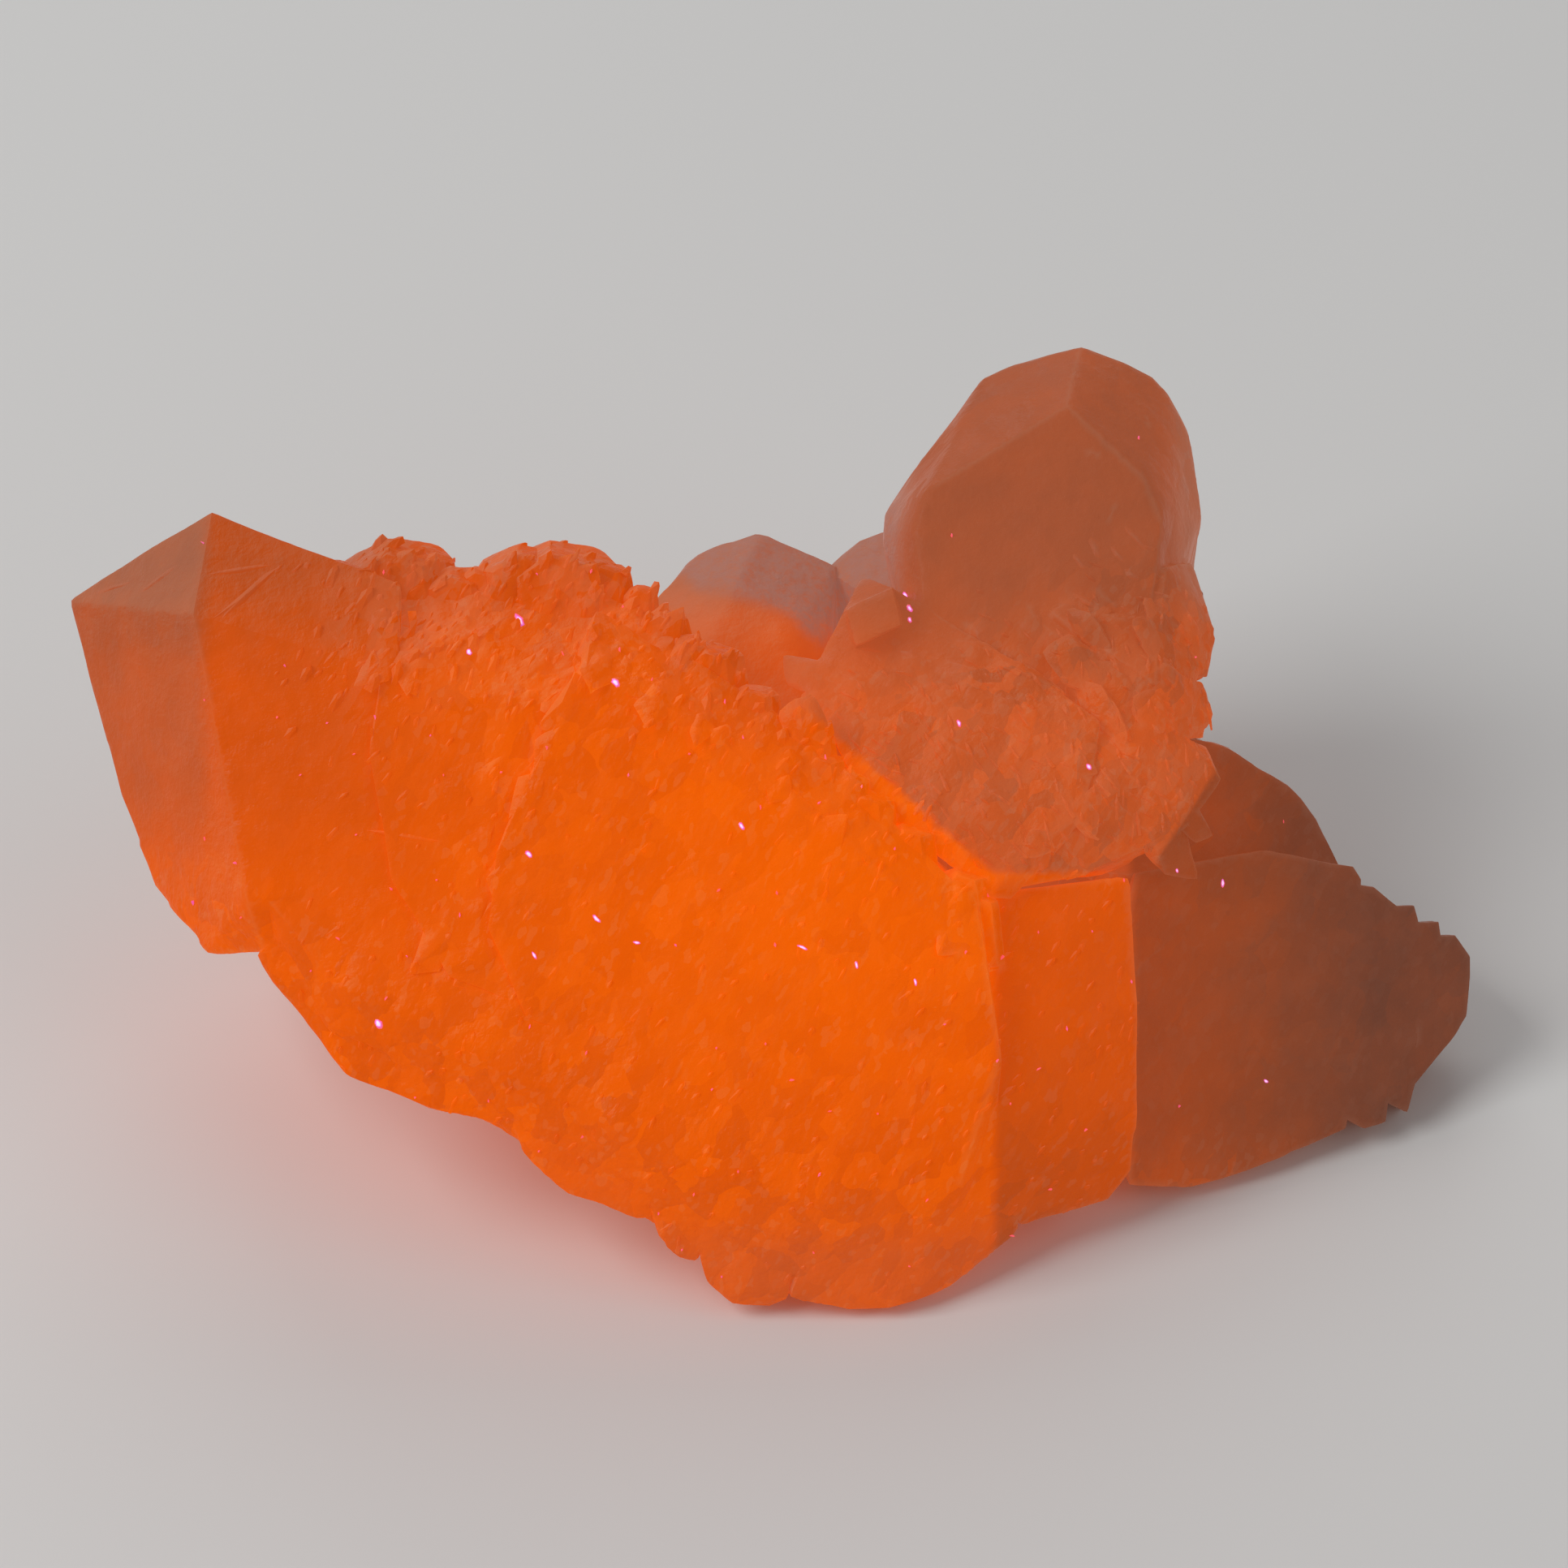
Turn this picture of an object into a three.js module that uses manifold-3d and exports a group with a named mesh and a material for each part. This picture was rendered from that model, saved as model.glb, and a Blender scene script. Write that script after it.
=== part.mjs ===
// A cluster of calcite crystals grown together: a long bank of parallel crystals whose caps make a
// serrated ridge, a stout crystal behind it on the right, a low broad crystal with a lobe behind it
// at the right-hand end, two small pale crystals in the gap, and the broken root they all stand on.
// Millimetres, +Z up. The origin is in the flat broken face under the root, on which it rests.
import * as THREE from "three";
import { ConvexGeometry } from "three/addons/geometries/ConvexGeometry.js";
import { MeshSurfaceSampler } from "three/addons/math/MeshSurfaceSampler.js";
import { mergeVertices } from "three/addons/utils/BufferGeometryUtils.js";
import Module from "manifold-3d";

// Driving dimensions
const LEAN_DEG = 50; // the showing side leans back this far from lying flat
const LIFT = 20; // height of the middle of the showing side above the surface
const TRIM_SPAN = 300; // block that trims the root flat
const TRIM_DEPTH = 30;

// The habit shared by every column: six sides, and a low cap whose faces stand over every other side.
const SIDES = 6;
const CAP_SLOPE_DEG = 29; // from square to the column

// How columns rise, seen as the showing side faces the viewer: right, up, towards.
const BANK_AXIS = [-0.13, 0.98, 0.06];
const REAR_AXIS = [-0.13, 0.88, -0.42];

// The broad face of the low crystal falls away to the right; the lobe's lies behind it.
const LOW_START = 22;
const LOW_LEVEL = 3.2;
const LOW_FALL = 0.3;
const LOBE_LEVEL = -1.5;
const SLAB_DRAFT = 0.97; // each slab narrows this much over its depth

// Flakes: the low edges of small crystals that crowd over the larger ones.
const FLAKE_SEED = 15;
const FLAKE_TRIES = 6000;
const FLAKE_CORNERS = 5;
const FLAKE_STRETCH = 1.9; // this much longer than wide
const FLAKE_RISE = 0.2; // share of its size that a flake stands proud
const FLAKE_GAP = 0.6; // share of two sizes kept between neighbours
const FLAKE_FACING = 0.6; // least share of its face's direction that points at the viewer
const BANK_FLAKE_RUN = [0.42, 0.9, 0.1]; // the way they are long on the bank
const STOUT_FLAKE_RUN = [-0.66, 0.72, 0.2]; // and on the stout crystal

const lean = THREE.MathUtils.degToRad(LEAN_DEG);
const capFall = Math.tan(THREE.MathUtils.degToRad(CAP_SLOPE_DEG));

// A direction given as the showing side faces the viewer: right, up, and towards the viewer.
const facing = ([x, y, z]) =>
  new THREE.Vector3(
    x,
    y * Math.cos(lean) - z * Math.sin(lean),
    y * Math.sin(lean) + z * Math.cos(lean),
  );

// A point given the same way, from the middle of the showing side.
const seen = (point) => facing(point).add(new THREE.Vector3(0, 0, LIFT));

// A point given at rest: right, away from the viewer, and up from the surface.
const atRest = ([x, y, z]) => new THREE.Vector3(x, y, z);

const wasm = await Module();
wasm.setup();

function solidFrom(geometry) {
  const bare = geometry.index ? geometry.toNonIndexed() : geometry.clone();
  bare.deleteAttribute("normal");
  bare.deleteAttribute("uv");
  const merged = mergeVertices(bare, 1e-4);
  return new wasm.Manifold(
    new wasm.Mesh({
      numProp: 3,
      vertProperties: new Float32Array(merged.attributes.position.array),
      triVerts: new Uint32Array(merged.index.array),
    }),
  );
}

function geometryFrom(solid) {
  const mesh = solid.getMesh();
  const geometry = new THREE.BufferGeometry();
  geometry.setAttribute("position", new THREE.BufferAttribute(mesh.vertProperties, 3));
  geometry.setIndex(new THREE.BufferAttribute(mesh.triVerts, 1));
  return geometry;
}

// Joins solids two by two, so that each join stays small.
function joined(solids) {
  let left = solids;
  while (left.length > 1) {
    const next = [];
    for (let i = 0; i < left.length; i += 2) {
      next.push(i + 1 < left.length ? left[i].add(left[i + 1]) : left[i]);
    }
    left = next;
  }
  return left[0];
}

// One large crystal: the flat faces that close round its corners.
const grown = ({ showing = [], hidden = [] }) =>
  solidFrom(new ConvexGeometry([...showing.map(seen), ...hidden.map(atRest)]));

// One slab: its outline lies in a face that falls away to the right, and it narrows towards its back.
function slab({ outline, depth }, level) {
  const front = outline.map(([x, y]) => [x, y, level - LOW_FALL * (x - LOW_START)]);
  const middle = [0, 1].map((i) => outline.reduce((sum, corner) => sum + corner[i], 0) / outline.length);
  const drawnIn = (value, i) => middle[i] + SLAB_DRAFT * (value - middle[i]);
  const back = front.map(([x, y, z]) => [drawnIn(x, 0), drawnIn(y, 1), z - depth]);
  return grown({ showing: [...front, ...back] });
}

// One column of the shared habit, its tip at `tip` and its length running back along `axis`.
function column(tip, axis, radius, length) {
  const up = axis.clone().normalize();
  const across = new THREE.Vector3(1, 0, 0).addScaledVector(up, -up.x).normalize();
  const towards = new THREE.Vector3().crossVectors(across, up);
  const halfWidth = radius * Math.cos(Math.PI / SIDES);
  const around = (turn, out, fall) =>
    tip
      .clone()
      .addScaledVector(across, out * Math.sin(turn))
      .addScaledVector(towards, out * Math.cos(turn))
      .addScaledVector(up, -fall);
  const corners = [tip.clone()];
  for (let side = 0; side < SIDES; side += 1) {
    const turn = (side * 2 * Math.PI) / SIDES;
    const corner = turn + Math.PI / SIDES;
    corners.push(around(corner, radius, halfWidth * capFall));
    corners.push(around(corner, radius, halfWidth * capFall + length));
    if (side % 2 === 0) {
      corners.push(around(turn, halfWidth, (halfWidth * capFall) / 2));
    }
  }
  return solidFrom(new ConvexGeometry(corners));
}

// The left-hand crystal of the bank: a pale cap face over a side face, and the start of the broad face.
const leftCrystal = {
  showing: [
    [-36.2, 17.2, 11], [-45.9, 11.8, 2.6], [-37.2, 10.7, 13.7], [-24.4, 12.4, 12.8], [-24.4, 7, 14.5],
    [-36, 4.9, 13.9], [-34.1, -2.1, 14], [-33.6, -7.5, 13.9], [-24.4, -6, 14.4],
    [-42.6, -0.7, 3.4], [-40.1, -6.4, 5], [-36.5, -10.6, 9], [-32.8, -10.5, 12],
    [-44, 8, -6], [-36.6, 15.6, 0], [-37, 12.4, -8], [-28, 13.2, 0], [-28, 12, -9], [-39.4, -4, -8],
    [-30, -8, -6],
  ],
};

// The body of the bank: a broad showing face between a slope back to the ridge and a foot that rolls under.
const bankBody = {
  showing: [
    [-33, 12.8, 9], [-28, 13.3, 9], [-19.5, 13.4, 8.8], [-11.6, 12.2, 9], [-5.8, 7.7, 12.6],
    [1.4, 2.6, 13], [12, -7.6, 13.2], [-28, 13.2, 0], [-12, 12, -1], [-4, 7, -2], [-30, 6.4, 14.1],
    [-11, 5, 15.05], [-4, 2.4, 15.4], [4, -3.6, 15.4], [12.6, -11.4, 14.4], [13.6, -17, 14],
    [-32.6, -7, 13.9], [-28, -12.6, 14.2], [-19, -16.6, 14.65], [-10, -21.6, 14.8], [3, -26.4, 14.2],
    [11, -25, 12.8], [-28.6, -15.4, 12.4], [-18, -20.4, 12.4], [-9, -26.2, 12], [-1.6, -31.4, 10.8],
    [7, -32, 10], [12, -29.4, 9], [-33, -8.6, 12], [-34, 8, -7], [-32, -8, -6], [-12, 9, -12],
    [-2, 4, -13], [9, -4, -10], [-18, -15, -4], [-8, -20, -2], [2, -25, -2], [9, -24, -2],
  ],
};

// Growth layers on the showing face: each stands proud along its left-hand edge and runs out level.
const layers = [
  [[-25, 12.4, 9.6], [-25.2, 7.2, 15], [-25.9, 2, 15], [-24.6, -6, 15], [-21, -12, 14.9], [-13, -15, 14.6],
    [-11, 3, 14.7], [-13, 11.6, 10], [-25, 6, 8.6], [-10, -4, 9], [-22, -8, 9]],
  [[-11.8, 10.8, 12.2], [-12.4, 7.4, 15.7], [-13.6, 5.2, 15.8], [-18, -4.4, 15.7], [-18.4, -9, 15.5],
    [-16, -14.6, 14.9], [-4.4, 3.2, 15.6], [2, -3, 14.9], [4, -14, 14.4], [-6, -18, 14.4], [-5.4, 6.8, 12.4],
    [-12, 4, 9], [0, -6, 9], [-10, -14, 9]],
];

// The foot of the bank steps down to the right, one group of columns after another.
const foot = [
  [[-33.2, -10.9, 11.8], [-32.6, -10.3, 12], [-31.6, -11.6, 12], [-31, -8, 13.4], [-30.8, -13.5, 12],
    [-27.3, -18.5, 11.6], [-22.8, -20.2, 12], [-17.7, -21.4, 12], [-26, -14.4, 13.2], [-18, -17.6, 13.4],
    [-28, -11, -2], [-18, -14, -4]],
  [[-17.1, -21.3, 12.4], [-16.4, -23.3, 12.2], [-15.6, -23.5, 12.2], [-13.6, -25.8, 11.8],
    [-9.3, -27.3, 11.8], [-8.4, -27.2, 11.8], [-17, -17, 13.4], [-9, -22.6, 13.4], [-14, -16, -3],
    [-8, -18, -2]],
  [[-8.4, -26, 12.2], [-7.9, -28, 11.6], [-7.5, -28.9, 11.6], [-6.6, -29.9, 11.2], [-5.6, -30.2, 11.2],
    [-8, -22.6, 13.2], [-3, -25, 13], [-5, -21, -2]],
  [[-5.3, -29.6, 11.4], [-4.9, -31.5, 10.9], [-2.6, -33.1, 10.2], [-1.1, -33.3, 10.2], [0.2, -32.5, 10.6],
    [-5, -25.6, 12.8], [1, -27, 12.4], [-2, -23, -2]],
  [[0.4, -32.4, 10.8], [2.5, -32.8, 10.4], [5.4, -33.4, 10], [6.6, -33.5, 10], [8.2, -32.7, 10],
    [9.7, -32.4, 9.2], [11.3, -31.1, 9], [14.9, -28.2, 8.4], [2, -27.4, 12.2], [9, -26, 11.8],
    [13, -22, 11.6], [3, -24, -2], [9, -22, -2]],
];

// The lower step at the right-hand end of the bank, with its straight right-hand edge.
const lowerStep = {
  showing: [
    [11, -7.2, 10.4], [21.8, -6.1, 8.4], [22.4, -13.6, 9.2], [22.4, -20.9, 9], [22.1, -24.6, 7],
    [20.7, -26.5, 6.2], [17.8, -26.8, 7.2], [15.1, -28, 8.2], [15, -18.4, 12.4], [12, -22, 12.8],
    [10, -27, 11.4], [19, -21.4, 10.6], [10, -14, 12], [13, -8, -8], [21, -8, -10], [18, -20, -4],
  ],
};

// Tips along the ridge of the bank: right, up, towards the viewer, radius.
const ridgeTips = [
  [-31.2, 14.5, 9, 1.4], [-28.9, 14, 9, 1.2], [-25.2, 15.4, 7.4, 3.8], [-21.2, 13.5, 8.6, 2.2],
  [-19.6, 13.5, 9, 1], [-16.9, 15.1, 8, 3], [-14.9, 15.4, 7.6, 4], [-11.9, 14.2, 8, 2],
  [-9.3, 12.4, 9, 1], [-7.9, 11, 10, 1.7], [-5, 8.8, 10.6, 2.2], [-2.4, 6.2, 11.6, 1.9],
  [0.9, 4.5, 11.6, 2], [2, 1.9, 12.4, 1.6], [4.8, -0.5, 12, 1.9], [7.5, -2.6, 11.8, 1.8],
  [10.9, -5.3, 11.4, 1.9], [12.4, -7.1, 11.8, 1],
];

// The stout crystal: a smooth face that comes to a point between two bevels.
const stoutBody = {
  showing: [
    [19.5, 28.7, -6], [18.3, 28.2, -6], [15.1, 27.4, -6], [13.2, 26.6, -6], [10.3, 22.6, -5],
    [8.7, 20.7, -4], [6.5, 17.7, -3], [6.3, 15.9, -2], [22.6, 27.5, -6.6], [24.2, 26.7, -7],
    [25.2, 25.6, -7], [26.3, 23.2, -7], [27, 19.4, -6], [27.3, 17.6, -6], [26.4, 16.2, -3],
    [18.3, 24.5, 0.5], [9.1, 18.9, 2.5], [8.3, 16.5, 3.2], [9.3, 9.1, 5.2], [23, 20, 1.5],
    [24.3, 17.1, 2.2], [23, 8, 4.9], [10, 3, 6.9], [22, 3, 6.3],
  ],
  hidden: [[8, 20, 18], [14, 26, 24], [22, 27, 25], [27, 22, 17], [10, 10, 10], [24, 12, 10]],
};

// Its etched foot: rounded, and overhanging the low crystal on the right.
const stoutFoot = [
  [[1.6, 6.3, 9], [3.8, 11.2, 5], [5, 13.5, 1], [7.2, 12.6, 4], [5, -0.6, 11.6], [10.5, -4.6, 11.5],
    [13, -7.1, 11.6], [14.3, -7.2, 11], [15.5, -4, 11.8], [12, 6, 8.2], [20, 4, 8], [19, -2, 10.2],
    [7, 6, 9], [4, 6, -10], [14, -4, 0], [20, 2, -6]],
  [[26.6, 14.5, -2], [27, 11.9, -1], [28, 9.8, 0], [27.2, 7.1, 1], [24.6, 14, 2.4], [23.6, 6.5, 6],
    [17, 11, 4.6], [24, 12, -10], [24, 4, -8], [15, 6, 0]],
  [[26.9, 6.3, 2], [27.7, 4.5, 2], [27.3, 3.7, 3], [25, 7, 4.8], [22, 1.4, 7.8], [18, 8, 6.4],
    [24, 6, -8], [24, 2, -6], [15, 2, 0]],
  [[27.2, 2.4, 3], [28.1, 0.3, 4], [25.6, -2.8, 6], [22.4, -3.6, 7.5], [18.8, -5.4, 9],
    [17.7, -5.9, 9.5], [14, -6.6, 10.8], [24, 3.4, 6], [14, 2, 9.8], [20, -1, 9.4], [24, 2, -6],
    [22, -3, -4], [22, -5, 0], [14, -2, 0], [17, 2, -8]],
];

// A small square block on the left shoulder of the stout crystal.
const shoulderBlock = {
  showing: [
    [3.8, 11.2, 8], [7, 12.7, 7.2], [7.6, 10.1, 8.8], [4.5, 8.7, 9.7], [3.8, 11.2, 2], [7, 12.7, 1],
    [7.6, 10.1, 2], [4.5, 8.7, 4],
  ],
};

// The low crystal at the right-hand end. It grew in slabs that share one broad satin face, and each one
// ends a step short of the next along the right-hand edge. A slab is the outline of its face and its depth.
const lowSlabs = [
  {
    outline: [
      [22.6, -5.8], [31.1, -4.3], [35.6, -5.3], [36.9, -5.4], [37.4, -6.2], [37.6, -14], [36.4, -22.3],
      [32.9, -23.8], [30.6, -24.4], [28.2, -25.4], [26.2, -25.9], [22.3, -25.7], [20, -16],
    ],
    depth: 12,
  },
  {
    outline: [[35, -6.3], [38.3, -6.7], [39.8, -7.9], [40.2, -13], [39, -21.9], [37.7, -22.3], [33, -20]],
    depth: 9,
  },
  {
    outline: [[37, -8], [41, -7.9], [41.2, -8.7], [41.7, -12], [41, -19.5], [40.5, -21.3], [36, -19]],
    depth: 8,
  },
  { outline: [[38, -9.1], [42.6, -9], [42.7, -9.8], [43, -14], [42.2, -17.8], [38, -18]], depth: 7 },
  {
    outline: [
      [40, -10], [43.7, -9.9], [44.7, -11.3], [44.7, -12.3], [44.4, -15.1], [43.6, -16.4], [41, -19.5],
    ],
    depth: 6,
  },
];

// The lobe behind it shows a face of its own, further back.
const lobeSlab = {
  outline: [
    [19, 4.4], [28, 2.6], [29, 2.2], [30.1, 1.4], [31.1, 0.4], [32.9, -0.1], [33.8, -1], [34.8, -2.3],
    [35.5, -3.7], [36.3, -5.5], [30, -9], [19, -9],
  ],
  depth: 12,
};

// The unseen side of both.
const lowBack = {
  showing: [
    [18, -5.8, 1], [18, -12, 1], [31, -6, -2], [36.6, -7.4, -4], [39, -17, -5], [30, -23, -3], [23, -24, 0],
  ],
  hidden: [[20, 4, 3], [28, 10, 5], [36, 8, 4], [41, 4, 2], [40, -4, 1], [30, 9, 11]],
};

// Two small pale crystals in the gap between the bank and the stout crystal.
const paleCrystals = [
  {
    showing: [
      [-8.5, 12, -5], [-6.2, 14.7, -8], [-5.1, 15.4, -8], [-3.3, 15.9, -9], [-1.5, 16.6, -9],
      [-0.3, 16.1, -9], [1.8, 15, -9], [3.4, 14.4, -9], [-3, 13.4, -4.6], [-5, 9, -1], [0.4, 9.4, -2],
      [-6, 2, 2], [2, 2, 2],
    ],
    hidden: [[-9, 18, 14], [-2, 21, 18], [4, 19, 15], [-8, 14, 6], [4, 16, 6]],
  },
  {
    showing: [
      [2.8, 14.2, -10], [4.2, 15.3, -10], [5, 16.1, -10], [6.4, 16.7, -10], [9, 16.9, -11], [5, 12.6, -6],
      [9, 13, -6],
    ],
    hidden: [[3, 21, 16], [9, 22, 18], [4, 17, 8], [10, 18, 9]],
  },
];

// Columns on the side turned away from the viewer: right, up, towards the viewer, radius, length.
const rearTips = [
  [-32.6, 9.8, -10, 6, 12], [-23.4, 9.6, -11.6, 6.4, 13], [-13.8, 8.6, -13, 6, 13],
  [-28.4, 13.4, -3.6, 3.2, 8], [-18.6, 12.6, -4.6, 3.4, 8], [13.4, 20.6, -17, 5, 14],
  [20, 17, -16.4, 5.2, 12], [8.2, 13.4, -15.4, 4.6, 12], [-3.4, 11, -16.6, 5, 12],
  [31.4, -3.6, -18.6, 5.6, 10], [37.4, -9, -15.4, 4, 8], [-8.4, 8.4, -22.4, 6.6, 13],
  [4.6, 10.4, -25.4, 7.4, 15], [16.4, 9, -25.2, 6.6, 14], [25, 3.2, -21.8, 4.8, 12],
];

// The root, broken off flat underneath.
const root = [
  {
    hidden: [
      [-17, -2, -2], [-13, -13, -2], [-6, -21.5, -2], [3, -27, -2], [9, -26.5, -2], [15, -19.5, -2],
      [-12, 10, -2], [-2, 15, -2], [-20, 2, 9], [-16, 10, 10], [-4, -4, 22], [8, -6, 22], [-2, 15, 9],
      [-9, 13, 15], [14, 0, 12], [14, 8, -2],
    ],
  },
  {
    hidden: [
      [10, -20, -2], [24, -14.5, -2], [33, -12, -2], [40, -7, -2], [41, 0, -2], [35, 9, -2], [22, 17, -2],
      [4, 17, -2], [6, 17, 9], [22, 19, 11], [34, 8, 7], [12, -12, 8],
    ],
  },
  {
    hidden: [
      [-13, 9, -2], [-7, 18, -2], [5, 24, -2], [19, 23, -2], [27, 15, -2], [-12, 15, 13], [-4, 20, 13],
      [7, 25, 15], [20, 25, 14], [26, 16, 9], [8, 8, 18], [0, 6, 20], [18, 10, 16],
    ],
  },
];

const showingOnly = (corners) => ({ showing: corners });
const tipsAlong = (tips, axis) =>
  tips.map(([x, y, z, radius, length = 2 * radius + 2]) =>
    column(seen([x, y, z]), facing(axis), radius, length),
  );

const large = joined([
  ...[leftCrystal, bankBody, lowerStep, stoutBody, lowBack].map(grown),
  ...lowSlabs.map((one) => slab(one, LOW_LEVEL)),
  slab(lobeSlab, LOBE_LEVEL),
  ...[...paleCrystals, ...root].map(grown),
  ...[...layers, ...foot, ...stoutFoot].map(showingOnly).map(grown),
  ...tipsAlong(ridgeTips, BANK_AXIS),
  ...tipsAlong(rearTips, REAR_AXIS),
]);

// The same numbers in the same order every time.
function seeded(seed) {
  let state = seed;
  return () => {
    state = (state + 0x6d2b79f5) | 0;
    let mixed = Math.imul(state ^ (state >>> 15), 1 | state);
    mixed = (mixed + Math.imul(mixed ^ (mixed >>> 7), 61 | mixed)) ^ mixed;
    return ((mixed ^ (mixed >>> 14)) >>> 0) / 4294967296;
  };
}

// Back from rest to how a point shows: right, up, towards the viewer.
function shows(point) {
  const y = point.y;
  const z = point.z - LIFT;
  return {
    x: point.x,
    y: y * Math.cos(lean) + z * Math.sin(lean),
    z: z * Math.cos(lean) - y * Math.sin(lean),
  };
}

// How far below the ridge line of the bank a shown point lies.
const belowRidge = ({ x, y }) => (x < -10 ? 14 : 14 - 0.88 * (x + 10)) - y;

// The etched part of the stout crystal reaches higher on its right-hand side.
const etched = ({ x, y }) => y < 6.5 + 0.28 * x;

// Where flakes crowd: their share of the tries, their sizes, and the way they run.
const zones = [
  {
    // just under the ridge of the bank
    holds: (p) => p.z > 6 && p.x > -26 && p.x < 12 && belowRidge(p) > 0.6 && belowRidge(p) < 7,
    share: 0.8, sizes: [0.8, 1.6], run: BANK_FLAKE_RUN,
  },
  {
    // along the left-hand edge of the middle growth layer
    holds: (p) => p.z > 9 && Math.abs(p.x + 16 - 0.4 * p.y) < 2.6 && p.y > -12,
    share: 0.7, sizes: [0.8, 1.7], run: BANK_FLAKE_RUN,
  },
  {
    // over the etched foot of the stout crystal
    holds: (p) => p.z > 2 && p.x > 2 && p.x < 26.6 && p.y > -5 && belowRidge(p) < -0.6 && etched(p),
    share: 0.9, sizes: [0.9, 2.2], run: STOUT_FLAKE_RUN,
  },
];

// One flake: a crest near its upper end, sloping down all round to corners just under the face.
function flake({ at, normal, run, size, random }) {
  const along = run.clone().addScaledVector(normal, -run.dot(normal)).normalize();
  const side = new THREE.Vector3().crossVectors(along, normal);
  const place = (forward, sideways, height) =>
    at
      .clone()
      .addScaledVector(along, forward * size)
      .addScaledVector(side, sideways * size)
      .addScaledVector(normal, height * size);
  const corners = [place(0, 0, -0.6)];
  const start = random() * 2 * Math.PI;
  for (let corner = 0; corner < FLAKE_CORNERS; corner += 1) {
    const turn = start + ((corner + 0.6 * random()) * 2 * Math.PI) / FLAKE_CORNERS;
    const out = 0.75 + 0.4 * random();
    corners.push(place(FLAKE_STRETCH * out * Math.cos(turn), out * Math.sin(turn), -0.14));
  }
  const crest = 0.3 + 0.4 * random();
  const slew = 0.5 * (random() - 0.5);
  corners.push(place(crest, slew - 0.22, FLAKE_RISE * (0.6 + 0.7 * random())));
  corners.push(place(crest + slew, slew + 0.22, FLAKE_RISE * (0.6 + 0.7 * random())));
  return solidFrom(new ConvexGeometry(corners));
}

function flakesOver(solid) {
  const random = seeded(FLAKE_SEED);
  const sampler = new MeshSurfaceSampler(new THREE.Mesh(geometryFrom(solid).toNonIndexed()))
    .setRandomGenerator(random)
    .build();
  const viewer = facing([0, 0, 1]);
  const at = new THREE.Vector3();
  const normal = new THREE.Vector3();
  const placed = [];
  for (let i = 0; i < FLAKE_TRIES; i += 1) {
    sampler.sample(at, normal);
    const chance = random();
    const draw = random();
    const zone = zones.find(({ holds }) => holds(shows(at)));
    if (!zone || chance > zone.share || normal.dot(viewer) < FLAKE_FACING) continue;
    const size = zone.sizes[0] + (zone.sizes[1] - zone.sizes[0]) * draw * draw;
    if (placed.some((other) => other.at.distanceTo(at) < FLAKE_GAP * (other.size + size))) continue;
    placed.push({ at: at.clone(), normal: normal.clone(), run: facing(zone.run).normalize(), size, random });
  }
  return placed.map(flake);
}

const trim = new THREE.BoxGeometry(TRIM_SPAN, TRIM_SPAN, TRIM_DEPTH);
trim.translate(0, 0, -TRIM_DEPTH / 2);
const whole = joined([large, grown(shoulderBlock), ...flakesOver(large)]).subtract(solidFrom(trim));

const calcite = new THREE.MeshStandardMaterial({ color: 0xe85e0c, roughness: 0.35, metalness: 0 });
const cluster = new THREE.Mesh(geometryFrom(whole), calcite);
cluster.name = "calcite_cluster";

const group = new THREE.Group();
group.add(cluster);
export default group;
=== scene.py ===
"""Looks of a calcite cluster: its grown surface, shards, finishes, floor, lights and camera.

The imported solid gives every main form. Here it gets a fine mesh with the low relief of grown calcite,
crops of shards and ridge flakes where the cluster is flaky, thin seams, bright glints and sparks, and the
finishes of them all.
"""

from __future__ import annotations

import logging
import math
from dataclasses import dataclass
from enum import Enum

import bmesh
import bpy
import numpy as np
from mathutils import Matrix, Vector
from mathutils.bvhtree import BVHTree

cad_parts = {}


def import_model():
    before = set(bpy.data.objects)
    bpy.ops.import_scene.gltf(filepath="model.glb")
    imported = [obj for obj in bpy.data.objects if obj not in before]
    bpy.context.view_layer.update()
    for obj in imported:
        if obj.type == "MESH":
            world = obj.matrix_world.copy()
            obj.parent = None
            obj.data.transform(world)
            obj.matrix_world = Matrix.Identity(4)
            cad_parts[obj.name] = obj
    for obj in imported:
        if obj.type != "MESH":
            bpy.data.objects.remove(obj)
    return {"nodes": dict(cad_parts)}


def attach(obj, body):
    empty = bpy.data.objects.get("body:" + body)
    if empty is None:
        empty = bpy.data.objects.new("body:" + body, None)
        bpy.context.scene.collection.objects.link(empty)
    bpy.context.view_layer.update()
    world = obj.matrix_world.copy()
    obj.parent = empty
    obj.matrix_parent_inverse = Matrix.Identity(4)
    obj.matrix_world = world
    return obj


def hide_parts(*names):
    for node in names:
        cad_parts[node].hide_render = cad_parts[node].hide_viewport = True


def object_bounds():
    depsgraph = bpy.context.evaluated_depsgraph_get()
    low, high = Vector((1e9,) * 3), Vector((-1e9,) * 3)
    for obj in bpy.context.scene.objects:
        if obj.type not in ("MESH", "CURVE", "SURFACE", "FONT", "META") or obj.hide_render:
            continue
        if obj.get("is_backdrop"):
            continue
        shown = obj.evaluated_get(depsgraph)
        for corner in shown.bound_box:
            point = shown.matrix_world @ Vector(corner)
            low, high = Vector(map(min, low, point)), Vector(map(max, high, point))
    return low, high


Pair = tuple[float, float]
Triple = tuple[float, float, float]
Stops = tuple[tuple[float, Triple], ...]
Box = list[list[float]]
Socket = bpy.types.NodeSocket

log = logging.getLogger("calcite_cluster")

MM = 0.001
SOLID = "calcite_cluster"
BODY = "root"
# How far in front of the skin, in metres, a ray that looks for it starts.
RAY_START = 0.06
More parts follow.
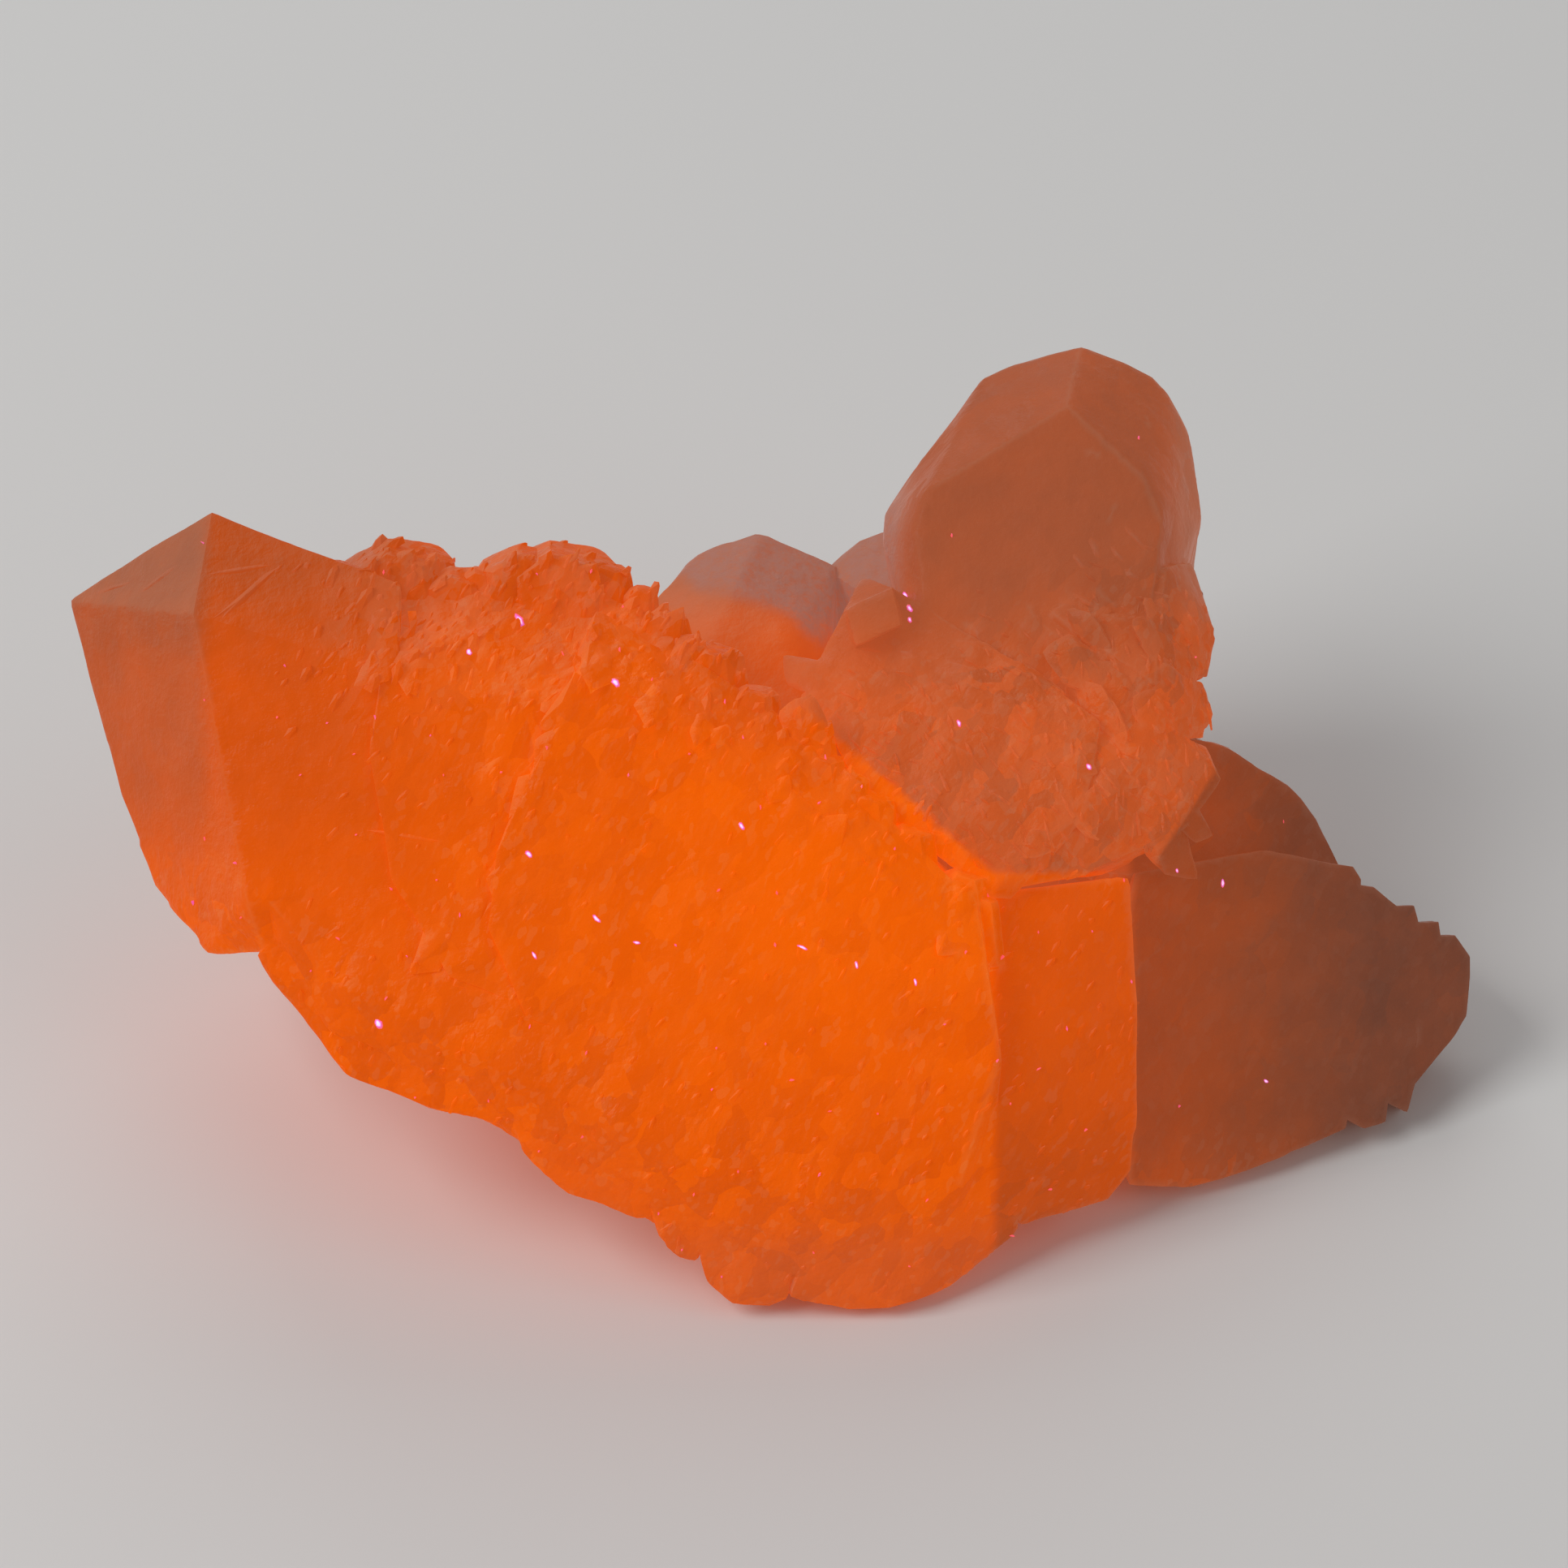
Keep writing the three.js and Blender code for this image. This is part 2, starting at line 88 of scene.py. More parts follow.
# The whole numbers that scramble cell numbers into fixed random ones.
CELL_PRIMES = (73856093, 19349663, 83492791)
SALT_STEP = 2654435761
WORD = 0xFFFFFFFF
MIXING = ((15, 0x2C1B3C6D), (12, 0x297A2D39))
LAST_SHIFT = 15


class Layer(Enum):
    """The values painted on the surface for its finish to read."""

    GLOW = "glow"
    GRAIN = "grain"
    EDGE_HIGHLIGHT = "edge_highlight"
    HAZE = "haze"
    CAP_HIGHLIGHT = "cap_highlight"
    STEPS = "steps"
    WHITENING = "whitening"
    CORE = "core"
    BANK_CROP = "bank_crop"
    FLAKE_CROP = "flake_crop"
    ETCHED_CROP = "etched_crop"
    GLINT_CROP = "glint_crop"


@dataclass(frozen=True)
class ShowingFrame:
    """The showing side of the cluster as the viewer faces it: right, up and towards, in millimetres."""

    lean_deg: float = 50.0
    lift_mm: float = 20.0

    @property
    def lean(self) -> float:
        """The lean of the showing side in radians."""
        return math.radians(self.lean_deg)

    def places(self, points: np.ndarray) -> np.ndarray:
        """Turns resting places into showing places.

        Args:
            points: Places at rest in metres, one row each.

        Returns:
            The same places as the viewer faces them, in millimetres.
        """
        return self.directions(points / MM - np.array([0.0, 0.0, self.lift_mm]))

    def directions(self, vectors: np.ndarray) -> np.ndarray:
        """Turns resting directions into showing directions.

        Args:
            vectors: Directions at rest, one row each.

        Returns:
            The same directions as the viewer faces them.
        """
        x, y, z = vectors.T
        up = y * math.cos(self.lean) + z * math.sin(self.lean)
        towards = z * math.cos(self.lean) - y * math.sin(self.lean)
        return np.stack([x, up, towards], axis=1)

    def rest_direction(self, right: float, up: float, towards: float) -> Vector:
        """Turns one showing direction back to rest.

        Args:
            right: Its share to the right.
            up: Its share upwards as shown.
            towards: Its share towards the viewer.

        Returns:
            The unit direction at rest.
        """
        y = up * math.cos(self.lean) - towards * math.sin(self.lean)
        z = up * math.sin(self.lean) + towards * math.cos(self.lean)
        return Vector((right, y, z)).normalized()


SHOWING = ShowingFrame()


def smooth(low: float, high: float, value: np.ndarray) -> np.ndarray:
    """Rises smoothly from 0 at low to 1 at high.

    Args:
        low: Where the rise starts; it may be the larger one, for a fall.
        high: Where the rise ends.
        value: The values to place on it.

    Returns:
        The share risen at each value.
    """
    share = np.clip((value - low) / (high - low), 0.0, 1.0)
    return share * share * (3.0 - 2.0 * share)


def spot(places: np.ndarray, centre: Pair, reach: Pair) -> np.ndarray:
    """A soft round spot on the showing side.

    Args:
        places: Showing places in millimetres.
        centre: Its middle, right and up.
        reach: How far it reaches right and up.

    Returns:
        1 in the middle, falling off to 0.
    """
    right = (places[:, 0] - centre[0]) / reach[0]
    up = (places[:, 1] - centre[1]) / reach[1]
    return np.exp(-(right * right + up * up))


def scrambled(cells: np.ndarray, salt: int) -> np.ndarray:
    """Fixed random numbers for whole-numbered cells.

    Args:
        cells: Cell numbers, three in the last axis.
        salt: Which set of numbers to give.

    Returns:
        Numbers from 0 to 1, one for each cell.
    """
    first, second, third = CELL_PRIMES
    mixed = cells[..., 0] * first ^ cells[..., 1] * second ^ cells[..., 2] * third
    mixed = (mixed + salt * SALT_STEP) & WORD
    for shift, factor in MIXING:
        mixed = ((mixed ^ (mixed >> shift)) * factor) & WORD
    return (mixed ^ (mixed >> LAST_SHIFT)) / (WORD + 1.0)


def soft_noise(places: np.ndarray, step: float, salt: int) -> np.ndarray:
    """Smooth noise.

    Args:
        places: Places in millimetres.
        step: The size of its waves in millimetres.
        salt: Which noise to give.

    Returns:
        Values from -1 to 1.
    """
    scaled = places / step
    cell = np.floor(scaled).astype(np.int64)
    share = scaled - cell
    share = share * share * (3.0 - 2.0 * share)
    total = np.zeros(len(places))
    for corner in np.ndindex(2, 2, 2):
        offset = np.array(corner)
        weight = np.prod(np.where(offset == 1, share, 1.0 - share), axis=1)
        total += weight * scrambled(cell + offset, salt)
    return 2.0 * total - 1.0


@dataclass(frozen=True)
class Surface:
    """What the cluster is like from place to place: how it glows, how flaky it is.

    Each number in its methods is a place on the showing side in millimetres or a share of the whole effect.
    """

    ridge_start: float = 14.0
    ridge_fall: float = 0.88
    ridge_bend: float = -10.0
    ridge_drop: float = 20.4

    def below_ridge(self, places: np.ndarray) -> np.ndarray:
        """How far below the ridge line of the bank a place shows.

        Args:
            places: Showing places in millimetres.

        Returns:
            Millimetres below the line; less than 0 above it.
        """
        right, up, _ = places.T
        fall = np.clip((right - self.ridge_bend) * self.ridge_fall, 0.0, self.ridge_drop)
        return self.ridge_start - fall - up

    def behind(self, places: np.ndarray) -> np.ndarray:
        """How surely a place belongs to the crystals that stand behind the bank.

        Args:
            places: Showing places in millimetres.

        Returns:
            0 on the bank, 1 behind it.
        """
        right, _, towards = places.T
        above = smooth(0.5, 1.1, -self.below_ridge(places)) * smooth(-12.0, -9.0, right)
        deep = smooth(6.0, 2.0, towards) * smooth(-13.0, -11.0, right)
        return np.maximum(above, deep)

    def pale(self, places: np.ndarray) -> np.ndarray:
        """How surely a place belongs to the small pale crystals in the gap.

        Args:
            places: Showing places in millimetres.

        Returns:
            1 on them, 0 elsewhere.
        """
        right, up, towards = places.T
        across = smooth(9.0, 7.0, right) * smooth(-12.0, -9.0, right)
        return across * smooth(3.0, -1.0, towards) * smooth(0.0, 2.0, up)

    def low_end(self, places: np.ndarray) -> np.ndarray:
        """How surely a place belongs to the low crystal at the right-hand end.

        Args:
            places: Showing places in millimetres.

        Returns:
            1 on the low crystal and its lobe, 0 elsewhere.
        """
        right, up, towards = places.T
        end = smooth(22.0, 22.8, right) * smooth(5.6, 4.4, towards) * smooth(-3.0, -4.0, up)
        lobe = smooth(23.4, 24.4, right) * smooth(-1.4, -2.4, towards) * smooth(4.5, 3.5, up)
        below_foot = smooth(0.3, -0.3, up - 1.0 - 1.44 * (right - 27.8)) * smooth(23.5, 24.2, right)
        return np.maximum.reduce([end, lobe, below_foot, smooth(28.2, 28.8, right)])

    def step(self, places: np.ndarray) -> np.ndarray:
        """How surely a place belongs to the lower step at the right-hand end of the bank.

        Args:
            places: Showing places in millimetres.

        Returns:
            1 on the step, 0 elsewhere.
        """
        right, up, _ = places.T
        return smooth(13.0, 13.8, right) * smooth(-5.0, -7.0, up)

    def blended(
        self, places: np.ndarray, bank: np.ndarray, rear: np.ndarray, low: np.ndarray
    ) -> np.ndarray:
        """Puts together what holds on the bank, behind it and on the low end.

        Args:
            places: Showing places in millimetres.
            bank: Levels on the bank.
            rear: Levels on the crystals behind it.
            low: Levels on the low crystal and its lobe.

        Returns:
            One level for each place.
        """
        level = bank + (rear - bank) * self.behind(places)
        return level + (low - level) * self.low_end(places)

    def glow(self, places: np.ndarray) -> np.ndarray:
        """How strongly each place glows.

        Args:
            places: Showing places in millimetres.

        Returns:
            Levels from 0, dull brown, to 1, the bright heart of the bank.
        """
        right, up, towards = places.T
        below = self.below_ridge(places)
        bank = 0.84 + 0.15 * spot(places, (4.0, -6.0), (17.0, 12.0))
        bank -= 0.17 * smooth(-18.0, -30.0, right) * smooth(-10.0, 2.0, up)
        bank -= 0.17 * smooth(-35.6, -37.4, right) * smooth(-10.0, 2.0, up)
        bank -= 0.22 * smooth(9.0, -1.0, below) * smooth(8.0, -4.0, right)
        bank += 0.04 * smooth(-34.0, -37.0, right) * smooth(9.0, 11.0, up)
        bank -= 0.14 * smooth(-26.0, -32.0, up)
        bank -= self.step(places) * (0.18 + 0.10 * smooth(-18.0, -25.0, up))
        stout = 0.62 - 0.29 * smooth(2.0, 15.0, up)
        stout += 0.07 * smooth(23.0, 26.0, right) * smooth(6.0, 12.0, up)
        stout += 0.10 * spot(places, (4.0, 7.0), (5.0, 5.0)) - 0.04 * smooth(5.0, -2.0, up)
        pale = 0.70 - 0.30 * smooth(9.5, 14.0, up)
        rear = stout + (pale - stout) * self.pale(places)
        low = 0.34 - 0.30 * smooth(23.0, 41.0, right) + 0.08 * smooth(-21.0, -25.0, up)
        low -= 0.06 * smooth(-4.0, -6.0, towards + 0.3 * (right - 30.0))
        level = self.blended(places, bank, rear, low)
        level *= 1.0 - 0.40 * smooth(-8.0, -18.0, towards)
        return np.clip(level, 0.02, 1.0)

    def grain(self, places: np.ndarray) -> np.ndarray:
        """How flaky each place is.

        Args:
            places: Showing places in millimetres.

        Returns:
            0 on a smooth face, 1 where shards crowd.
        """
        right, up, towards = places.T
        below = self.below_ridge(places)
        bank = 0.16 + 0.50 * smooth(-31.0, -16.0, right) - 0.22 * spot(places, (2.0, -8.0), (15.0, 11.0))
        ridge = 0.5 * smooth(8.0, 2.0, below) * smooth(-30.0, -25.0, right) * smooth(8.0, 2.0, right)
        bank = np.maximum(bank, ridge)
        bank = np.maximum(bank, 0.9 * smooth(-14.0, -24.0, up + 0.35 * right))
        bank -= 0.35 * self.step(places) * smooth(-24.0, -16.0, up)
        rear = 0.06 + 0.94 * self.etched(places)
        low = 0.22 + 0.3 * smooth(-21.0, -25.0, up)
        level = self.blended(places, bank, rear, low)
        return level + smooth(0.0, -8.0, towards) * (0.35 - level)

    def craggy(self, places: np.ndarray) -> np.ndarray:
        """How strongly the carved relief stands out.

        Args:
            places: Showing places in millimetres.

        Returns:
            0 on a smooth face, 1 along the ridge.
        """
        below = self.below_ridge(places)
        right = places[:, 0]
        ridge = smooth(9.0, 2.0, below) * smooth(-31.0, -26.0, right) * smooth(9.0, 3.0, right)
        ridge *= 1.0 - self.behind(places)
        level = self.grain(places)
        return level + ridge * (1.0 - level)

    def etched(self, places: np.ndarray) -> np.ndarray:
        """How etched the stout crystal is: fully at its foot, and further up on its right-hand side.

        Args:
            places: Showing places in millimetres.

        Returns:
            0 on its smooth face, 1 on its foot.
        """
        right, up, towards = places.T
        ragged = 1.6 * soft_noise(places, 3.4, 61)
        return smooth(13.0, 4.0, up - 0.35 * (right - 12.0) + ragged) * smooth(-1.0, 1.5, towards)

    def haze(self, places: np.ndarray) -> np.ndarray:
        """How greyed each place is by the frosted skin over it, whichever way it faces.

        Args:
            places: Showing places in millimetres.

        Returns:
            0 where the glow is pure, 1 where it is wholly frosted.
        """
        right, up, _ = places.T
        bank = 0.22 * smooth(-36.0, -37.4, right) * smooth(-9.0, 4.0, up)
        bank += 0.12 * smooth(-24.0, -31.0, up)
        stout = 0.44 - 0.16 * self.etched(places)
        stout += 0.40 * smooth(24.5, 26.5, right) * smooth(10.0, 14.0, up)
        pale = 0.20 + 0.25 * smooth(7.0, 13.0, up)
        rear = stout + (pale - stout) * self.pale(places)
        low = 0.16 + 0.10 * smooth(30.0, 40.0, right)
        return np.clip(self.blended(places, bank, rear, low), 0.0, 1.0)

    def cap_highlight(self, places: np.ndarray) -> np.ndarray:
        """How strongly faces that lie the caps' way are made paler: a painted highlight, as if lit from
        there.

        Args:
            places: Showing places in millimetres.

        Returns:
            0 where there is no painted highlight, 1 where it is strongest.
        """
        right, up, _ = places.T
        bank = 0.9 - 0.35 * smooth(-36.0, -37.4, right) * smooth(10.0, 8.0, up)
        bank -= 0.55 * spot(places, (2.0, -8.0), (20.0, 15.0))
        rear = 0.10 + 0.4 * self.etched(places)
        rear += (0.7 - rear) * self.pale(places)
        low = np.full(len(places), 0.25)
        return self.blended(places, bank, rear, low)

    def steps(self, places: np.ndarray) -> np.ndarray:
        """How clearly pale growth steps show.

        Args:
            places: Showing places in millimetres.

        Returns:
            0 where there are none, 1 on the upper left of the bank.
        """
        right = places[:, 0]
        below = self.below_ridge(places) + 0.25 * (right + 26.0)
        bank = smooth(14.0, 2.0, below) * smooth(-31.0, -26.0, right)
        bank = 0.08 + 0.92 * bank
        rear = 0.5 * self.etched(places)
        return self.blended(places, bank, rear, np.full(len(places), 0.15))

    def whitening(self, places: np.ndarray) -> np.ndarray:
        """How white each place is: a painted reflection of light on the tips of the crystals in the gap.

        Args:
            places: Showing places in millimetres.

        Returns:
            0 where there is none, 1 where it hides the glow.
        """
        right, up, towards = places.T
        ragged = 0.7 * soft_noise(places, 1.8, 77)
        tips = smooth(-0.9, 0.9, up + 0.45 * (right + 5.6) - 13.4 + ragged)
        tips *= self.pale(places) * self.behind(places) * smooth(-17.0, -10.0, towards)
        # A faint whitening along the stout crystal's right edge and at the bottom.
        edge = 0.12 * smooth(25.0, 26.6, right) * smooth(9.0, 13.0, up)
        bottom = 0.05 * smooth(-27.0, -30.0, up)
        bottom += 0.05 * smooth(-20.0, -26.0, up) * smooth(-6.0, -14.0, right)
        return np.clip(np.maximum.reduce([0.80 * tips, edge, bottom]), 0.0, 1.0)

    def softness(self, places: np.ndarray) -> np.ndarray:
        """How rounded the edges are.

        Args:
            places: Showing places in millimetres.

        Returns:
            0 where they stay crisp, 1 where they are roundest.
        """
        right, up, towards = places.T
        bank = 0.04 + 0.14 * smooth(-19.0, -25.0, up + 0.3 * right)
        rear = 0.28 - 0.14 * self.etched(places)
        rear += (0.35 - rear) * self.pale(places)
        low = np.full(len(places), 0.06)
        level = self.blended(places, bank, rear, low)
        return level + smooth(-4.0, -10.0, towards) * (0.08 - level)

    def crops(self, places: np.ndarray, normals: np.ndarray) -> dict[Layer, np.ndarray]:
        """How thickly each crop of small pieces stands.

        Args:
            places: Showing places in millimetres.
            normals: The normals at rest, one row each.

        Returns:
            A share from 0 to 1 at each place for each crop.
        """
        right, _, towards = places.T
        facing = SHOWING.directions(normals)[:, 2]
        faces_viewer = smooth(0.25, 0.5, facing)
        turned_up = smooth(-0.1, 0.2, facing)
        behind, low_end = self.behind(places), self.low_end(places)
        on_bank = (1.0 - behind) * (1.0 - low_end) * smooth(4.0, 6.0, towards)
        near_ridge = smooth(11.0, 3.0, self.below_ridge(places) + 0.2 * (right + 20.0))
        near_ridge *= smooth(7.0, 1.0, right)
        bank = (0.22 + 0.78 * near_ridge) * on_bank * smooth(-33.0, -26.0, right) * faces_viewer
        etched = self.etched(places) * behind * (1.0 - low_end) * smooth(2.5, 4.0, right)
        glints = (0.12 + 0.88 * on_bank) * faces_viewer * smooth(-40.0, -36.0, right)
        return {
            Layer.BANK_CROP: bank,
            Layer.FLAKE_CROP: near_ridge * (1.0 - behind) * smooth(-33.0, -28.0, right) * turned_up,
            Layer.ETCHED_CROP: etched * faces_viewer,
            Layer.GLINT_CROP: glints,
        }


SURFACE = Surface()


def write_layer(mesh: bpy.types.Mesh, layer: Layer, values: np.ndarray) -> None:
    """Paints one value on every vertex of a mesh.

    Args:
        mesh: The mesh to paint.
        layer: Which value it is.
        values: One number for each vertex.
    """
    attribute = mesh.attributes.get(layer.value) or mesh.attributes.new(layer.value, "FLOAT", "POINT")
    attribute.data.foreach_set("value", np.ascontiguousarray(values, dtype=np.float32))


def vertex_places(mesh: bpy.types.Mesh) -> np.ndarray:
    """Reads the vertices of a mesh.

    Args:
        mesh: The mesh to read.

    Returns:
        Their places at rest in metres, one row each.
    """
    flat = np.empty(len(mesh.vertices) * 3)
    mesh.vertices.foreach_get("co", flat)
    return flat.reshape(-1, 3)


def paint_looks(mesh: bpy.types.Mesh) -> None:
    """Paints what the calcite's finish reads from place to place.

    Args:
        mesh: The mesh to paint.
    """
    places = SHOWING.places(vertex_places(mesh))
    looks = {
        Layer.GLOW: SURFACE.glow,
        Layer.GRAIN: SURFACE.grain,
        Layer.HAZE: SURFACE.haze,
        Layer.CAP_HIGHLIGHT: SURFACE.cap_highlight,
        Layer.STEPS: SURFACE.steps,
        Layer.WHITENING: SURFACE.whitening,
    }
    for layer, look in looks.items():
        write_layer(mesh, layer, look(places))


def vertex_normals(mesh: bpy.types.Mesh) -> np.ndarray:
    """Reads the normals at the vertices of a mesh.

    Args:
        mesh: The mesh to read.

    Returns:
        Unit directions at rest, one row each.
    """
    flat = np.empty(len(mesh.vertices) * 3)
    mesh.vertex_normals.foreach_get("vector", flat)
    return flat.reshape(-1, 3)


def placed(name: str, data: bpy.types.ID) -> bpy.types.Object:
    """Makes an object at the origin of the scene.

    Args:
        name: Its name.
        data: Its mesh, light or camera.

    Returns:
        The object.
    """
    made = bpy.data.objects.new(name, data)
    bpy.context.scene.collection.objects.link(made)
    return made


@dataclass(frozen=True)
class Relief:
    """Low relief of small parallel crystals: many blunt caps whose faces all lie the same three ways."""

    cell_mm: float
    height_mm: float
    salt: int
    stretch: float = 1.7
    streak_deg: float = 57.0
    uneven: float = 0.55
    ground: float = 0.75
    tallest: float = 1.4
    faces: tuple[Triple, ...] = (
        (-0.92, 0.30, 0.55),
        (0.30, -0.52, 0.40),
        (0.62, 0.40, 0.30),
    )

    def heights(self, places: np.ndarray) -> np.ndarray:
        """Works out how far the relief stands proud.

        Args:
            places: Showing places in millimetres.

        Returns:
            Millimetres, from 0 in the clefts to about the relief's height on the crests.
        """
        turn = math.radians(self.streak_deg)
        along = places[:, 0] * math.cos(turn) + places[:, 1] * math.sin(turn)
        across = places[:, 1] * math.cos(turn) - places[:, 0] * math.sin(turn)
        turned = np.stack([along / self.stretch, across, places[:, 2]], axis=1) / self.cell_mm
        home = np.floor(turned).astype(np.int64)
        faces = np.array(self.faces)
        best = np.full(len(places), -1.0e9)
        for offset in np.ndindex(3, 3, 3):
            cell = home + np.array(offset) - 1
            jitter = np.stack([scrambled(cell, self.salt + k) for k in range(3)], axis=1)
            middle = (cell + jitter) * self.cell_mm
            middle_along = middle[:, 0] * self.stretch
            right = middle_along * math.cos(turn) - middle[:, 1] * math.sin(turn)
            up = middle_along * math.sin(turn) + middle[:, 1] * math.cos(turn)
            away = places - np.stack([right, up, middle[:, 2]], axis=1)
            steepest = np.max(away @ faces.T, axis=1) / self.cell_mm
            best = np.maximum(best, self.uneven * scrambled(cell, self.salt + 3) - steepest)
        return self.height_mm * np.clip(best + self.ground, 0.0, self.tallest)


class Tree:
    """A node tree being built, with short ways to add and join nodes."""

    def __init__(self, tree: bpy.types.NodeTree) -> None:
        """Starts from an empty tree."""
        self.tree = tree

    def add(self, kind: str, inputs: dict | None = None, **settings: object) -> bpy.types.Node:
        """Adds a node.

        Args:
            kind: The node's type name.
            inputs: Values or sockets for its inputs, by name or by number.
            settings: Values for its own settings.

        Returns:
            The node.
        """
        node = self.tree.nodes.new(kind)
        for name, value in settings.items():
            setattr(node, name, value)
        for key, value in (inputs or {}).items():
            if isinstance(value, Socket):
                self.tree.links.new(value, node.inputs[key])
            else:
                node.inputs[key].default_value = value
        return node

    def maths(self, operation: str, *values: Socket | float) -> Socket:
        """Adds a sum.

        Args:
            operation: What it does with its values.
            values: Numbers or sockets.

        Returns:
            The socket with its result.
        """
        return self.add("ShaderNodeMath", dict(enumerate(values)), operation=operation).outputs[0]

    def times(self, first: Socket, second: Socket | float) -> Socket:
        """Adds the product of two values."""
        return self.maths("MULTIPLY", first, second)

    def plus(self, first: Socket, second: Socket | float) -> Socket:
        """Adds the sum of two values."""
        return self.maths("ADD", first, second)

    def swing(self, value: Socket, size: Socket | float) -> Socket:
        """Turns a value from 0 to 1 into a swing about 0."""
        return self.times(self.maths("SUBTRACT", value, 0.5), size)

    def painted(self, layer: Layer) -> Socket:
        """Reads one of the values painted on the mesh."""
        return self.add("ShaderNodeAttribute", attribute_name=layer.value).outputs["Fac"]

    def vectors(self, operation: str, inputs: dict) -> bpy.types.bpy_prop_collection:
        """Adds a sum of vectors and gives its outputs."""
        return self.add("ShaderNodeVectorMath", inputs, operation=operation).outputs

    def noise(self, places: Socket, scale: float, detail: float, roughness: float = 0.5) -> Socket:
        """Adds cloudy noise.

        Args:
            places: The socket with the places.
            scale: How many waves there are to a unit of length.
            detail: How many finer layers it has.
            roughness: How strong each finer layer is.

        Returns:
            The socket with the noise, from 0 to 1.
        """
        inputs = {"Vector": places, "Scale": scale, "Detail": detail, "Roughness": roughness}
        return self.add("ShaderNodeTexNoise", inputs).outputs[0]

    def mapped(self, value: Socket, low: float, high: float, to_low: float, to_high: float) -> Socket:
        """Adds a smooth step between two levels.

        Args:
            value: The socket to read.
            low: The value that gives the first level.
            high: The value that gives the second level.
            to_low: The first level.
            to_high: The second level.

        Returns:
            The socket with its result.
        """
        inputs = {0: value, 1: low, 2: high, 3: to_low, 4: to_high}
        return self.add("ShaderNodeMapRange", inputs, interpolation_type="SMOOTHSTEP").outputs[0]

    def ramp(self, value: Socket, stops: Stops) -> Socket:
        """Adds a run of colours.

        Args:
            value: The socket that places a point on it.
            stops: Each colour with its place from 0 to 1.

        Returns:
            The socket with the colour.
        """
        node = self.add("ShaderNodeValToRGB", {0: value})
        elements = node.color_ramp.elements
        while len(elements) < len(stops):
            elements.new(0.5)
        for element, (place, _) in zip(elements, stops):
            element.position = place
        for element, (_, colour) in zip(elements, stops):
            element.color = (*colour, 1.0)
        return node.outputs[0]

    def mixed(self, share: Socket | float, first: Socket, second: Socket | tuple) -> Socket:
        """Mixes two colours.

        Args:
            share: How much of the second one.
            first: The first colour.
            second: The second colour.

        Returns:
            The socket with the mix.
        """
        node = self.add("ShaderNodeMix", {0: share, 6: first, 7: second}, data_type="RGBA")
        return node.outputs[2]


def linear(red: int, green: int, blue: int) -> Triple:
    """Turns a screen colour into light.

    Args:
        red: Its red, 0 to 255.
        green: Its green.
        blue: Its blue.

    Returns:
        The same colour as shares of light.
    """
    shares = [value / 255.0 for value in (red, green, blue)]
    return tuple(s / 12.92 if s <= 0.04045 else ((s + 0.055) / 1.055) ** 2.4 for s in shares)


@dataclass(frozen=True)
class Weave:
    """Small grains that run one way: width in millimetres, turn in degrees, length against width."""

    width: float
    turn: Triple
    stretch: float


